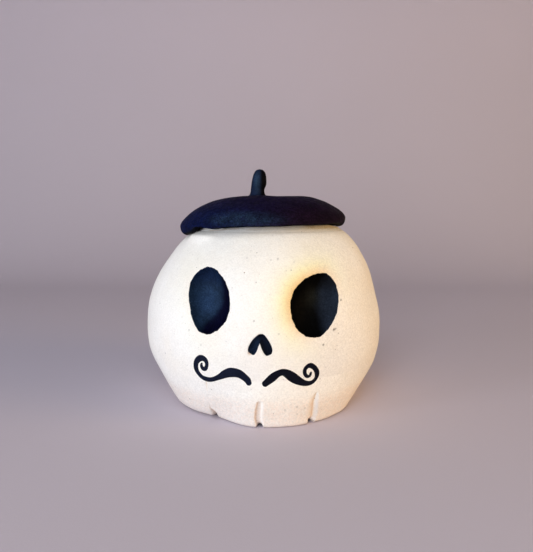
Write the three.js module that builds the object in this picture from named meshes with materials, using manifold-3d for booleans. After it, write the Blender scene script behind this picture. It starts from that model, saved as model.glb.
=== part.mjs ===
// A ceramic jar in the shape of a skull, with a lid in the shape of a beret.
// Millimetres, +Z up, the face looks along -Y, and the origin is the middle of the foot on the table.
// An azimuth is an angle round the upright axis, measured from the front towards +X.

import * as THREE from "three";
import { mergeVertices, toCreasedNormals } from "three/addons/utils/BufferGeometryUtils.js";
import Module from "manifold-3d";

const wasm = await Module();
wasm.setup();

const degree = Math.PI / 180;

// The skull's ball, longer below its widest height than above it
const bodyRadius = 50;
const widestHeight = 31.5;
const crownReach = 49;
const baseReach = 56;
const footRounding = 1.6;
const wall = 6;
const floorThickness = 6;

// The flat top and the mouth in it, which lean towards +X above the lean's height
const mouthRadius = 25.5;
const shoulderWidth = 5.2;
const mouthShift = 2.2;
const leanHeight = 40;
const leanPower = 1.3;

// The chin, a low swelling above the foot that runs out further towards +X, and the two pared cheeks
const chinReach = 5.8;
const chinHeight = 18;
const chinAzimuth = 4 * degree;
const chinSpreadLeft = 20 * degree;
const chinSpreadRight = 48 * degree;
const chinPower = 3;
const cheekFacingLimit = 75 * degree;
const leftCheekHeight = 22;
const rightCheekHeight = 13.5;
const cheeks = [
  { azimuth: -78 * degree, height: leftCheekHeight, tilt: 31 * degree },
  { azimuth: 78 * degree, height: rightCheekHeight, tilt: 35 * degree },
];

// The coil of clay round the mouth, which the lid rests on, narrower at its top by its taper
const rimWidth = 4.9;
const rimTaper = 0.9;
const rimHeight = 1.2;
const rimRounding = 0.5;

// Clearances, and how far a cut runs past what it cuts
const fitGap = 0.3;
const seatGap = 0.3;
const flangeClearance = 0.8;
const overrun = 2;

// A stroke's round end stops this share of a step short of a point, and its width stays above a least share
const capEndShare = 0.5;
const leastWidthShare = 0.02;

// The face: sockets, nose and moustache are coated black, and the face sits a little left of the middle
const slipThickness = 0.8;
const paintThickness = 0.5;
const faceShift = -2.2;

const socketDepth = 8;
const socketOut = 3;
const socketWall = 4;
const leftSocketHalfWidth = 8.2;
const leftSocketHalfHeight = 12.4;
const rightSocketHalfWidth = 8.9;
const rightSocketHalfHeight = 12;
const sockets = [
  {
    name: "left_socket_slip", azimuth: -25.2 * degree, riseShare: 0.4, tilt: -18 * degree,
    halfWidth: leftSocketHalfWidth, halfHeight: leftSocketHalfHeight,
  },
  {
    name: "right_socket_slip", azimuth: 23.1 * degree, riseShare: 0.36, tilt: 30 * degree,
    halfWidth: rightSocketHalfWidth, halfHeight: rightSocketHalfHeight,
  },
];

// The nose is two carved legs that meet at the top: places from the face's middle and from the nose's foot
const noseWidth = 2.85;
const noseDepth = 2;
const noseFloorShare = 0.45;
const noseMouthShare = 1.55;
const noseHalfSpan = 2.85;
const noseRise = 4.7;
const noseFootShare = 0.935;
const noseShift = 1.1;
const noseLegsShares = [
  [[0.04, 1], [-0.43, 0.71], [-0.77, 0.34], [-1, 0.02]],
  [[0.04, 1], [0.5, 0.71], [0.79, 0.35], [1, 0]],
];

// The moustache: each half is one brush stroke, given from its inner end as length, rise and width
const moustacheGap = 5.8;
const leftStrokeReach = 19.6;
const leftStrokeRise = 8.3;
const leftStrokeWidth = 3.5;
const rightStrokeReach = 18.8;
const rightStrokeRise = 6.15;
const rightStrokeWidth = 3.2;
const moustacheHalves = [
  {
    name: "left_moustache_slip", side: -1, baseShare: 0.55,
    reach: leftStrokeReach, rise: leftStrokeRise, widest: leftStrokeWidth,
    strokeShares: [
      [0, 0.015, 0.5], [0.03, 0.155, 0.65], [0.09, 0.29, 0.74], [0.17, 0.42, 0.9], [0.255, 0.47, 0.96],
      [0.345, 0.46, 1], [0.435, 0.375, 0.82], [0.515, 0.255, 0.59], [0.605, 0.135, 0.48],
      [0.7, 0.04, 0.48], [0.79, 0.025, 0.5], [0.885, 0.1, 0.43], [0.955, 0.27, 0.41],
      [0.99, 0.44, 0.45], [0.995, 0.63, 0.48], [0.98, 0.785, 0.51], [0.935, 0.925, 0.59],
      [0.875, 0.995, 0.61], [0.81, 0.935, 0.47], [0.78, 0.785, 0.32], [0.785, 0.635, 0.3],
      [0.81, 0.52, 0.36], [0.845, 0.5, 0.38], [0.875, 0.57, 0.31], [0.885, 0.665, 0.23],
      [0.875, 0.745, 0.12],
    ],
  },
  {
    name: "right_moustache_slip", side: 1, baseShare: 0.555,
    reach: rightStrokeReach, rise: rightStrokeRise, widest: rightStrokeWidth,
    strokeShares: [
      [-0.005, -0.03, 0.67], [0.055, 0.125, 0.78], [0.125, 0.31, 0.83], [0.19, 0.485, 0.8],
      [0.265, 0.62, 0.75], [0.345, 0.66, 0.76], [0.425, 0.545, 0.89], [0.505, 0.355, 0.99],
      [0.58, 0.18, 0.95], [0.66, 0.025, 0.81], [0.74, -0.095, 0.63], [0.82, -0.14, 0.5],
      [0.89, -0.115, 0.41], [0.945, -0.015, 0.36], [0.98, 0.125, 0.38], [0.995, 0.31, 0.45],
      [0.99, 0.52, 0.48], [0.96, 0.715, 0.49], [0.915, 0.865, 0.53], [0.86, 0.96, 0.57],
      [0.8, 0.91, 0.46], [0.76, 0.765, 0.41], [0.75, 0.58, 0.38], [0.77, 0.395, 0.35],
      [0.805, 0.29, 0.33], [0.85, 0.315, 0.26], [0.87, 0.45, 0.22], [0.875, 0.525, 0.13],
    ],
  },
];

// The gaps between the teeth: grooves cut through the foot's edge, shallow at the top
const toothDepth = 2.2;
const toothWidth = 3;
const toothFloorShare = 0.15;
const toothMouthShare = 1.45;
const toothFadeShares = [[0, 0.3, 0.6], [0.2, 0.8, 0.8], [0.5, 1, 0.9], [1, 1, 1]];
const leftToothHeight = 15.5;
const middleToothHeight = 10.4;
const rightToothHeight = 13;
const toothGrooves = [
  { azimuth: -26.2 * degree, height: leftToothHeight },
  { azimuth: -1.7 * degree, height: middleToothHeight },
  { azimuth: 21.8 * degree, height: rightToothHeight },
];

// The beret, a hollow cap whose edge hangs lower on the left and stands up a little at the front
const beretOverhang = 4.4;
const beretShift = -2.6;
const beretRise = 12.8;
const beretRoll = 1.25 * degree;
const edgeDrop = 0.65;
const edgeTip = 1.8;
const edgeSaddle = 1.05;
const hollowDepth = 6.3;
const hollowLedge = 1;
const beretTopShares = [
  [0, 1], [0.14, 1], [0.27, 0.995], [0.41, 0.975], [0.52, 0.925], [0.62, 0.855], [0.735, 0.73], [0.82, 0.605],
  [0.885, 0.475], [0.94, 0.34], [0.98, 0.22], [1, 0.11],
];
const beretEdgeShares = [[0.993, 0.035, 0.55], [0.95, 0, 1], [0.91, 0, 0.7]];
const beretSeatShare = 0.87;
const hollowShares = [[1, 0], [0.93, 0.4], [0.75, 0.75], [0.45, 0.95], [0, 1]];

// The flange under the beret that keeps it in the mouth
const flangeThickness = 3.3;
const flangeDepth = 6;
const flangeRounding = 0.8;

// The stem on the beret, which stands in a shallow socket and leans towards +X
const stemRadius = 3.05;
const stemHeight = 11.2;
const stemSeatDepth = 1.5;
const stemShift = -2.2;
const stemLean = 1;
const stemShares = [
  [0, 0], [1, 0], [1, 0.12], [0.9, 0.24], [0.87, 0.33], [0.92, 0.45], [0.97, 0.57], [0.95, 0.68],
  [0.86, 0.79], [0.68, 0.89], [0.43, 0.96], [0, 1],
];

// Sizes that follow from the ones above
const topRadius = mouthRadius + shoulderWidth;
const topHeight = widestHeight + crownReach * Math.sqrt(1 - (topRadius / bodyRadius) ** 2);
const seatHeight = topHeight + rimHeight + seatGap;
const beretRadius = topRadius + beretOverhang;
const beretX = mouthShift + beretShift;
const flangeRadius = mouthRadius - flangeClearance;
const flangeBore = flangeRadius - flangeThickness;
const faceHeight = topHeight - widestHeight;

// Counts of steps in the meshes
const bodySegments = 60;
const bodyRows = 18;
const footRows = 3;
const cavitySegments = 40;
const cavityRows = 9;
const rimSegments = 44;
const beretSegments = 48;
const stemSegments = 20;
const socketSegments = 24;
const socketRows = 14;
const strokeSteps = 64;
const legSteps = 8;
const capSteps = 3;
const skinPasses = 8;

// Faces that meet at more than this angle are shown with a sharp edge
const creaseAngle = 32 * degree;

function limit(value, low, high) {
  return Math.min(high, Math.max(low, value));
}

// Half the ball's height, above or below its widest height
function halfAxis(height) {
  return height > widestHeight ? crownReach : baseReach;
}

function ballRadius(height) {
  const share = (height - widestHeight) / halfAxis(height);
  return bodyRadius * Math.sqrt(Math.max(0, 1 - share * share));
}

// A pared cheek is a plane through the ball at the cheek's height, leaning in below it
function cheekRadius(cheek, azimuth, height) {
  const facing = Math.cos(azimuth - cheek.azimuth);
  if (facing < Math.cos(cheekFacingLimit)) {
    return Infinity;
  }
  return (ballRadius(cheek.height) + (height - cheek.height) * Math.tan(cheek.tilt)) / facing;
}

// The skull's outer radius about its own axis
function skinRadius(azimuth, height) {
  let radius = ballRadius(height);
  for (const cheek of cheeks) {
    radius = Math.min(radius, cheekRadius(cheek, azimuth, height));
  }
  const footShare = 1 - limit(height / footRounding, 0, 1);
  radius -= footRounding * (1 - Math.sqrt(1 - footShare * footShare));
  const chinShare = limit(1 - height / chinHeight, 0, 1);
  const spread = azimuth < chinAzimuth ? chinSpreadLeft : chinSpreadRight;
  const turn = Math.abs(azimuth - chinAzimuth) / spread;
  return radius + chinReach * chinShare * Math.exp(-(turn ** chinPower));
}

// How far the axis has moved towards +X at a height
function leanAt(height) {
  return mouthShift * limit((height - leanHeight) / (topHeight - leanHeight), 0, 1) ** leanPower;
}

function skinNormal(x, y, height) {
  const slope = (height - widestHeight) / halfAxis(height) ** 2;
  return new THREE.Vector3(x / bodyRadius ** 2, y / bodyRadius ** 2, slope).normalize();
}

// The point of the skin seen at x and height from the front, lifted along the skin's normal
function skinPoint(x, height, lift) {
  const fromAxis = x - leanAt(height);
  let azimuth = 0;
  for (let pass = 0; pass < skinPasses; pass += 1) {
    azimuth = Math.asin(limit(fromAxis / skinRadius(azimuth, height), -1, 1));
  }
  const y = -skinRadius(azimuth, height) * Math.cos(azimuth);
  return new THREE.Vector3(x, y, height).addScaledVector(skinNormal(fromAxis, y, height), lift);
}

// A closed solid from a geometry: shared corners are merged and flat triangles dropped
function solidFrom(source) {
  source.deleteAttribute("normal");
  source.deleteAttribute("uv");
  const merged = mergeVertices(source);
  const corners = merged.getIndex().array;
  const kept = [];
  for (let start = 0; start < corners.length; start += 3) {
    const [a, b, c] = corners.slice(start, start + 3);
    if (a !== b && b !== c && c !== a) {
      kept.push(a, b, c);
    }
  }
  const vertProperties = new Float32Array(merged.getAttribute("position").array);
  return new wasm.Manifold(new wasm.Mesh({ numProp: 3, vertProperties, triVerts: new Uint32Array(kept) }));
}

function geometryFrom(solid) {
  const mesh = solid.getMesh();
  const geometry = new THREE.BufferGeometry();
  geometry.setAttribute("position", new THREE.BufferAttribute(new Float32Array(mesh.vertProperties), 3));
  geometry.setIndex(new THREE.BufferAttribute(new Uint32Array(mesh.triVerts), 1));
  return toCreasedNormals(geometry, creaseAngle);
}

// A profile of radius and height turned round the upright axis; move shifts each point after turning
function turned(profile, segments, move) {
  const points = profile.map(([radius, height]) => new THREE.Vector2(radius, height));
  const geometry = new THREE.LatheGeometry(points, segments);
  geometry.rotateX(90 * degree);
  const places = geometry.getAttribute("position");
  const point = new THREE.Vector3();
  for (let index = 0; index < places.count; index += 1) {
    point.fromBufferAttribute(places, index);
    move(point, index % profile.length);
    places.setXYZ(index, point.x, point.y, point.z);
  }
  return solidFrom(geometry);
}

// A closed solid through rings of points, closed across both end rings
function lofted(rings) {
  const width = rings[0].length;
  const corners = [];
  for (let ring = 0; ring + 1 < rings.length; ring += 1) {
    for (let side = 0; side < width; side += 1) {
      const next = (side + 1) % width;
      const low = ring * width;
      const high = low + width;
      corners.push(low + side, high + next, high + side, low + side, low + next, high + next);
    }
  }
  const last = (rings.length - 1) * width;
  for (let side = 1; side + 1 < width; side += 1) {
    corners.push(0, side + 1, side, last, last + side, last + side + 1);
  }
  const geometry = new THREE.BufferGeometry().setFromPoints(rings.flat());
  geometry.setIndex(corners);
  return solidFrom(geometry);
}

// A line on the skin with round ends; each station holds x, height, half its width and its depth
function stations(points, steps) {
  const placeVectors = points.map((point) => new THREE.Vector3(point.x, point.half, point.z));
  const depthVectors = points.map((point) => new THREE.Vector3(point.depth, 0, 0));
  const places = new THREE.CatmullRomCurve3(placeVectors);
  const depths = new THREE.CatmullRomCurve3(depthVectors);
  const line = [];
  for (let step = 0; step <= steps; step += 1) {
    const place = places.getPoint(step / steps);
    const along = places.getTangent(step / steps).setY(0).normalize();
    line.push({ x: place.x, z: place.z, half: place.y, depth: depths.getPoint(step / steps).x, along });
  }
  const cap = (end, sense) => {
    const rounded = [];
    for (let step = 1; step <= capSteps; step += 1) {
      const turn = (90 * degree * step) / (capSteps + capEndShare);
      const forward = sense * end.half * Math.sin(turn);
      const x = end.x + end.along.x * forward;
      const z = end.z + end.along.z * forward;
      rounded.push({ ...end, x, z, half: end.half * Math.cos(turn) });
    }
    return rounded;
  };
  return [...cap(line[0], -1).reverse(), ...line, ...cap(line[line.length - 1], 1)];
}

// A stroke between two layers; a layer holds a lift, how much of the depth it sinks and its width
function stroke(line, layers) {
  const rings = line.map((station) => {
    const point = (side, layer) => {
      const trimmed = station.half * layer.widthShare - layer.trim;
      const half = Math.max(trimmed, station.half * leastWidthShare) * side;
      const lift = layer.lift - station.depth * layer.sinkShare;
      return skinPoint(station.x - station.along.z * half, station.z + station.along.x * half, lift);
    };
    const [low, high] = layers;
    return [point(-1, low), point(1, low), point(1, high), point(-1, high)];
  });
  return lofted(rings);
}

// The skull's outside as one solid, without its hollow and its carving
function skinSolid() {
  const profile = [[0, 0]];
  for (let row = 0; row < footRows; row += 1) {
    profile.push([1, (footRounding * row * row) / (footRows * footRows)]);
  }
  const lowTurn = Math.asin((footRounding - widestHeight) / baseReach);
  const highTurn = Math.asin((topHeight - widestHeight) / crownReach);
  for (let row = 0; row < bodyRows; row += 1) {
    const turn = lowTurn + ((highTurn - lowTurn) * row) / bodyRows;
    profile.push([1, widestHeight + Math.sin(turn) * (turn > 0 ? crownReach : baseReach)]);
  }
  profile.push([1, topHeight], [0, topHeight]);
  return turned(profile, bodySegments, (point) => {
    const radius = skinRadius(Math.atan2(point.x, -point.y), point.z);
    point.x = point.x * radius + leanAt(point.z);
    point.y *= radius;
  });
}

// The hollow, a smaller ball that follows the skin, and the round mouth above it
function cavitySolid() {
  const innerCrown = crownReach - wall;
  const neckTurn = Math.acos(mouthRadius / (bodyRadius - wall));
  const floorTurn = Math.asin((floorThickness - widestHeight) / (baseReach - wall));
  const profile = [[0, floorThickness]];
  for (let row = 0; row <= cavityRows; row += 1) {
    const turn = floorTurn + ((neckTurn - floorTurn) * row) / cavityRows;
    const reach = turn > 0 ? innerCrown : baseReach - wall;
    profile.push([(bodyRadius - wall) * Math.cos(turn), widestHeight + Math.sin(turn) * reach]);
  }
  profile.push([mouthRadius, topHeight + overrun], [0, topHeight + overrun]);
  const neckRow = cavityRows + 1;
  return turned(profile, cavitySegments, (point, row) => {
    if (row >= neckRow) {
      point.x += mouthShift;
      return;
    }
    const share = skinRadius(Math.atan2(point.x, -point.y), point.z) / ballRadius(point.z);
    point.x = point.x * share + leanAt(point.z);
    point.y *= share;
  });
}

// An ellipsoid whose cut through the skin has the socket's outline, made larger by grow
function socketSolid(socket, grow) {
  const height = widestHeight + socket.riseShare * faceHeight;
  const radius = skinRadius(socket.azimuth, height);
  const x = radius * Math.sin(socket.azimuth) + leanAt(height);
  const normal = skinNormal(x - leanAt(height), -radius * Math.cos(socket.azimuth), height);
  const across = new THREE.Vector3(Math.cos(socket.azimuth), Math.sin(socket.azimuth), 0);
  const up = new THREE.Vector3().crossVectors(normal, across);
  const reach = socketDepth + socketOut;
  const semiAxis = (half) => {
    const sag = (half * half) / (2 * bodyRadius);
    return half / Math.sqrt(1 - ((socketOut + sag) / reach) ** 2);
  };
  const geometry = new THREE.SphereGeometry(1, socketSegments, socketRows);
  geometry.rotateX(90 * degree);
  geometry.scale(semiAxis(socket.halfWidth) + grow, semiAxis(socket.halfHeight) + grow, reach + grow);
  geometry.rotateZ(-socket.tilt);
  const centre = skinPoint(x, height, socketOut);
  geometry.applyMatrix4(new THREE.Matrix4().makeBasis(across, up, normal).setPosition(centre));
  return solidFrom(geometry);
}

// The nose's two legs as one solid between two layers
function noseSolid(layers) {
  const middle = faceShift + noseShift;
  const legs = noseLegsShares.map((leg) => {
    const points = leg.map(([acrossShare, riseShare]) => ({
      x: middle + noseHalfSpan * acrossShare,
      z: widestHeight * noseFootShare + noseRise * riseShare,
      half: noseWidth / 2,
      depth: noseDepth,
    }));
    return stroke(stations(points, legSteps), layers);
  });
  return legs[0].add(legs[1]);
}

function toothGroove({ azimuth, height }) {
  const points = toothFadeShares.map(([downShare, depthShare, widthShare]) => {
    const z = height - (height + overrun) * downShare;
    return {
      x: skinRadius(azimuth, z) * Math.sin(azimuth) + leanAt(z),
      z,
      half: (toothWidth * widthShare) / 2,
      depth: toothDepth * depthShare,
    };
  });
  const low = { lift: 0, sinkShare: 1, widthShare: toothFloorShare, trim: 0 };
  const high = { lift: overrun / 2, sinkShare: 0, widthShare: toothMouthShare, trim: 0 };
  return stroke(stations(points, legSteps), [low, high]);
}

function skullBody() {
  let cavity = cavitySolid();
  let body = skinSolid();
  for (const socket of sockets) {
    cavity = cavity.subtract(socketSolid(socket, socketWall));
  }
  body = body.subtract(cavity);
  for (const socket of sockets) {
    body = body.subtract(socketSolid(socket, 0));
  }
  const floor = { lift: 0, sinkShare: 1, widthShare: noseFloorShare, trim: 0 };
  const mouth = { lift: noseDepth, sinkShare: 0, widthShare: noseMouthShare, trim: 0 };
  body = body.subtract(noseSolid([floor, mouth]));
  for (const groove of toothGrooves) {
    body = body.subtract(toothGroove(groove));
  }
  return body;
}

// A thin coat that lines a socket, flush with the skin at its edge
function socketSlip(socket) {
  const coat = socketSolid(socket, -fitGap).subtract(socketSolid(socket, -fitGap - slipThickness));
  return coat.intersect(skinSolid());
}

function noseSlip() {
  const coatShare = (slipThickness + fitGap) / noseDepth;
  const coatWidthShare = noseFloorShare + (1 - noseFloorShare) * coatShare;
  const low = { lift: fitGap, sinkShare: 1, widthShare: noseFloorShare, trim: fitGap };
  const high = { lift: fitGap + slipThickness, sinkShare: 1, widthShare: coatWidthShare, trim: fitGap };
  return noseSolid([low, high]);
}

function moustacheSlip({ side, baseShare, reach, rise, widest, strokeShares }) {
  const points = strokeShares.map(([alongShare, riseShare, widthShare]) => ({
    x: faceShift + side * (moustacheGap / 2 + reach * alongShare),
    z: widestHeight * baseShare + rise * riseShare,
    half: (widest * widthShare) / 2,
    depth: 0,
  }));
  const low = { lift: fitGap, sinkShare: 0, widthShare: 1, trim: 0 };
  const high = { lift: fitGap + paintThickness, sinkShare: 0, widthShare: 1, trim: 0 };
  return stroke(stations(points, strokeSteps), [low, high]);
}

// A ring with rounded upper or lower corners, centred on the mouth; its outside leans in by the taper
function ring(inner, outer, low, high, lowRounding, highRounding, taper = 0) {
  const profile = [
    [inner + lowRounding, low],
    [outer - lowRounding, low],
    [outer, low + lowRounding],
    [outer - taper, high - highRounding],
    [outer - taper - highRounding, high],
    [inner + highRounding, high],
    [inner, high - highRounding],
    [inner, low + lowRounding],
    [inner + lowRounding, low],
  ];
  return turned(profile, rimSegments, (point) => {
    point.x += mouthShift;
  });
}

function mouthRim() {
  const outer = mouthRadius + rimWidth;
  return ring(mouthRadius, outer, topHeight, topHeight + rimHeight, 0, rimRounding, rimTaper);
}

function locatingFlange() {
  return ring(flangeBore, flangeRadius, seatHeight - flangeDepth, seatHeight, flangeRounding, 0);
}

// The beret's edge hangs below or stands above its seat, by azimuth
function edgeHeight(azimuth) {
  return edgeTip * Math.sin(azimuth) + edgeSaddle * Math.cos(2 * azimuth) - edgeDrop;
}

function beretCrown() {
  const hollowRadius = flangeBore - hollowLedge;
  const outside = beretTopShares.map(([radiusShare, riseShare]) => [radiusShare, riseShare, 1, 0]);
  const edge = beretEdgeShares.map(([radiusShare, riseShare, hangShare]) => [
    radiusShare,
    riseShare,
    0,
    hangShare,
  ]);
  const rows = [...outside, ...edge, [beretSeatShare, 0, 0, 0]];
  const profile = rows.map(([radiusShare, riseShare]) => [
    beretRadius * radiusShare,
    seatHeight + beretRise * riseShare,
  ]);
  for (const [radiusShare, riseShare] of hollowShares) {
    profile.push([hollowRadius * radiusShare, seatHeight + hollowDepth * riseShare]);
  }
  profile.reverse();
  rows.reverse();
  const crown = turned(profile, beretSegments, (point, row) => {
    const place = rows[row - hollowShares.length];
    if (place !== undefined) {
      const [, , rollShare, hangShare] = place;
      point.z += rollShare * Math.tan(beretRoll) * point.x;
      point.z += hangShare * edgeHeight(Math.atan2(point.x, -point.y));
      point.x += beretX;
      return;
    }
    point.x += mouthShift;
  });
  return crown.subtract(stemSocket());
}

function stemBase() {
  return seatHeight + beretRise - stemSeatDepth;
}

function stemX() {
  return beretX + stemShift;
}

function stemSocket() {
  const height = stemSeatDepth + overrun;
  const geometry = new THREE.CylinderGeometry(stemRadius + fitGap, stemRadius + fitGap, height, stemSegments);
  geometry.rotateX(90 * degree);
  geometry.translate(stemX(), 0, stemBase() + height / 2);
  return solidFrom(geometry);
}

function beretStem() {
  const height = stemHeight + stemSeatDepth;
  const profile = stemShares.map(([radiusShare, riseShare]) => [
    stemRadius * radiusShare,
    stemBase() + height * riseShare,
  ]);
  return turned(profile, stemSegments, (point) => {
    point.x += stemX() + (stemLean * (point.z - stemBase())) / height;
  });
}

const stoneware = { color: 0xece3d2, roughness: 0.55, metalness: 0 };
const blackSlip = { color: 0x16202e, roughness: 0.7, metalness: 0 };
const blackClay = { color: 0x121a28, roughness: 0.62, metalness: 0 };

const group = new THREE.Group();

function place(name, solid, finish) {
  const mesh = new THREE.Mesh(geometryFrom(solid), new THREE.MeshStandardMaterial(finish));
  mesh.name = name;
  group.add(mesh);
}

place("skull_body", skullBody(), stoneware);
place("mouth_rim", mouthRim(), stoneware);
for (const socket of sockets) {
  place(socket.name, socketSlip(socket), blackSlip);
}
place("nose_slip", noseSlip(), blackSlip);
for (const half of moustacheHalves) {
  place(half.name, moustacheSlip(half), blackSlip);
}
place("beret_crown", beretCrown(), blackClay);
place("beret_stem", beretStem(), blackClay);
place("locating_flange", locatingFlange(), stoneware);

export default group;
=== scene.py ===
"""A ceramic skull jar with a beret for a lid: the looks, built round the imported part."""

import math

import bpy
import numpy as np
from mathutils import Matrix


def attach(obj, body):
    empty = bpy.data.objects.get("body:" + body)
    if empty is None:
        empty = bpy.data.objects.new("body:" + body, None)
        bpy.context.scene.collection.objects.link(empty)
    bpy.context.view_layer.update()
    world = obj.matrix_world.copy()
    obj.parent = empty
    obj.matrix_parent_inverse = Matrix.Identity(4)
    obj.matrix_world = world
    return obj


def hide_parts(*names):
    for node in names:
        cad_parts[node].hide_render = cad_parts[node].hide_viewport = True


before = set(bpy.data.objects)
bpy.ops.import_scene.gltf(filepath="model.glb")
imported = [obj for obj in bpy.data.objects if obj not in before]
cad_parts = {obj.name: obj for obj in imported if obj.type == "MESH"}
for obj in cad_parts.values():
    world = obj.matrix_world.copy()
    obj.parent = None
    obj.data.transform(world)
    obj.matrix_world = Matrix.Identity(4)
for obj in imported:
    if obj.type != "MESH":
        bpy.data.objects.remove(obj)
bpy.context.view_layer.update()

MM = 0.001
TURN = 2 * math.pi
SEED = 11
SOLVE_ROUNDS = 12
SOCKET_ROUNDS = 7

# How many rows and columns each surface is divided into
TURN_SAMPLES = 7201
FOOT_ARC_ROWS = 8
CROWN_ROWS = 12
TOP_ROWS = 14
INNER_ROWS = 44
COAT_COLUMNS = 270
COAT_SHARES = (*np.linspace(0.05, 0.86, 22), *np.linspace(0.875, 1.0, 14))
NOSE_LOOP_STEPS = 61
NOSE_GRID = (121, 25)
STROKE_GRID = (260, 9)
COIL_COLUMNS = 420
BERET_GRID = (92, 300)
STEM_GRID = (64, 56)
FLANGE_CORNER_ROWS = 6
FLANGE_COLUMNS = 220

# The camera, at the photograph's place and angle
CAMERA_PLACE = (0.00116, -0.240, 0.0798)
CAMERA_PITCH = 7.1
CAMERA_LENS = 36.3
CAMERA_SENSOR = 36.0
CAMERA_RANGE = (0.01, 20.0)

# The skull's ball, in millimetres as in the part
BODY_RADIUS = 50.0
WIDEST_HEIGHT = 31.5
CROWN_REACH = 49.0
BASE_REACH = 56.0
FOOT_ROUNDING = 1.6
FOOT_INSETS = (27.0, 16.0, 8.0, 3.4)
WALL = 6.0
FLOOR_THICKNESS = 6.0
FLOOR_DIP = 0.4
FLOOR_SHARES = (0.96, 0.85, 0.6, 0.3)
MOUTH_RADIUS = 25.5
MOUTH_ROUNDING = 0.9
MOUTH_EDGE_ANGLES = (25, 50, 75, 90)
MOUTH_SHIFT = 2.2
TOP_RADIUS = 30.7
TOP_SOFTNESS = 0.2
TOP_DROP = 1.6
LEAN_HEIGHT = 40.0
LEAN_POWER = 1.3
TOP_HEIGHT = WIDEST_HEIGHT + CROWN_REACH * math.sqrt(1 - (TOP_RADIUS / BODY_RADIUS) ** 2)
SKIN_TOP = TOP_HEIGHT - TOP_DROP
FACE_HEIGHT = TOP_HEIGHT - WIDEST_HEIGHT

# The chin, the pared cheeks and the softer left corner of the foot
CHIN_REACH = 5.8
CHIN_HEIGHT = 18.0
CHIN_TURN = 4.0
CHIN_SPREAD_LEFT = 20.0
CHIN_SPREAD_RIGHT = 41.0
CHIN_POWER = 3
CHEEKS = (
    {"turn": -78.0, "height": 22.0, "tilt": 29.5, "soft": 1.5, "out": 0.95},
    {"turn": 78.0, "height": 13.5, "tilt": 35.0, "soft": 0.9, "out": -0.7},
)
CHEEK_SOFTENING = 30.0
CHEEK_FACING = 0.25
LEAST_FACING = 0.2
CORNER_TURN = -38.0
CORNER_SPREAD = 17.0
CORNER_REACH = 1.5
CORNER_HEIGHT = 5.0

# Low swellings and flats left by the potter's hands: turn, its spread, height, its spread and reach
HAND_MARKS = (
    (-86.0, 45.0, 66.0, 4.6, 0.85), (86.0, 45.0, 66.5, 4.8, 0.65), (81.0, 30.0, 46.0, 8.5, -0.85),
    (-78.0, 30.0, 27.0, 5.5, 0.24), (77.0, 26.0, 23.0, 4.5, 0.32), (31.0, 11.0, 0.0, 7.0, -0.65),
    (-53.0, 13.0, 69.5, 3.0, 2.7), (0.0, 42.0, 9.2, 3.4, 0.32),
)

# The skin's unevenness, and the drops below the top between which it fades
WAVE_LIMIT = 2
UNEVEN_REACH = 0.11
UNEVEN_DROPS = (5.0, 1.0)
INNER_UNEVEN_SHARE = 0.003
FLOOR_UNEVEN = 0.05

# The mouth's rim, the seat of the lid and the flange under it
RIM_HEIGHT = 1.2
SEAT_GAP = 0.3
SEAT_HEIGHT = TOP_HEIGHT + RIM_HEIGHT + SEAT_GAP
FLANGE_RADIUS = 24.7
FLANGE_BORE = 21.4
FLANGE_DEPTH = 6.0
FLANGE_TOP_GAP = 0.02
FLANGE_LOW_ROUND = 0.8
FLANGE_HIGH_ROUND = 0.1
FLANGE_UNEVEN = 0.05
FLANGE_BORE_SHARE = 0.6
FLANGE_WAVE_STRETCH = np.array([0.5, 0.5, 1.0])

# The sockets: outline shares go clockwise from the socket's top, as seen from the front
SOCKET_DEPTH = 7.6
SOCKET_SPAN = 28.0
SOCKET_BACK = -20.0
SOCKET_END_SHARE = 2.4
BOWL_EDGE_SHARE = 0.975
BOWL_POWER = 2.3
BOWL_ROUNDING = 0.62
BOWL_BEYOND = 26.0
BOWL_SOFTNESS = 0.9
RIM_DIP = 0.1
RIM_DIP_REACH = 0.9
DIP_FOCUS = 1.6
DIP_SHARES = (0.8, 1.0)
BACK_SPREAD = 1.45
BACK_SPAN = 26.0
BACK_DEPTH = -30.0
BACK_SOFTNESS = 2.0
BACK_WALL_SHARE = 0.75
COAT_GAP = 0.35
COAT_LIFT = 0.05
COAT_THICKNESS = 0.18
COAT_EDGE_THICKNESS = 0.05
COAT_RIM_SHARES = (0.99, 0.93)
COAT_HIGH = (3.0, 9.0)
FRONT_DISTANCE = 200.0
FRONT_HEIGHT = 80.0
RIM_WAVES = ((13, 1.0, 0.006), (21, 2.0, 0.005), (34, 0.5, 0.004))
# How far the painted yellow and tan shade beside a socket's rim reaches
RIM_SHADE_REACH = 4.6
RIM_SHADE_POWER = 1.3
TAN_REACH = 2.0
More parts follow.
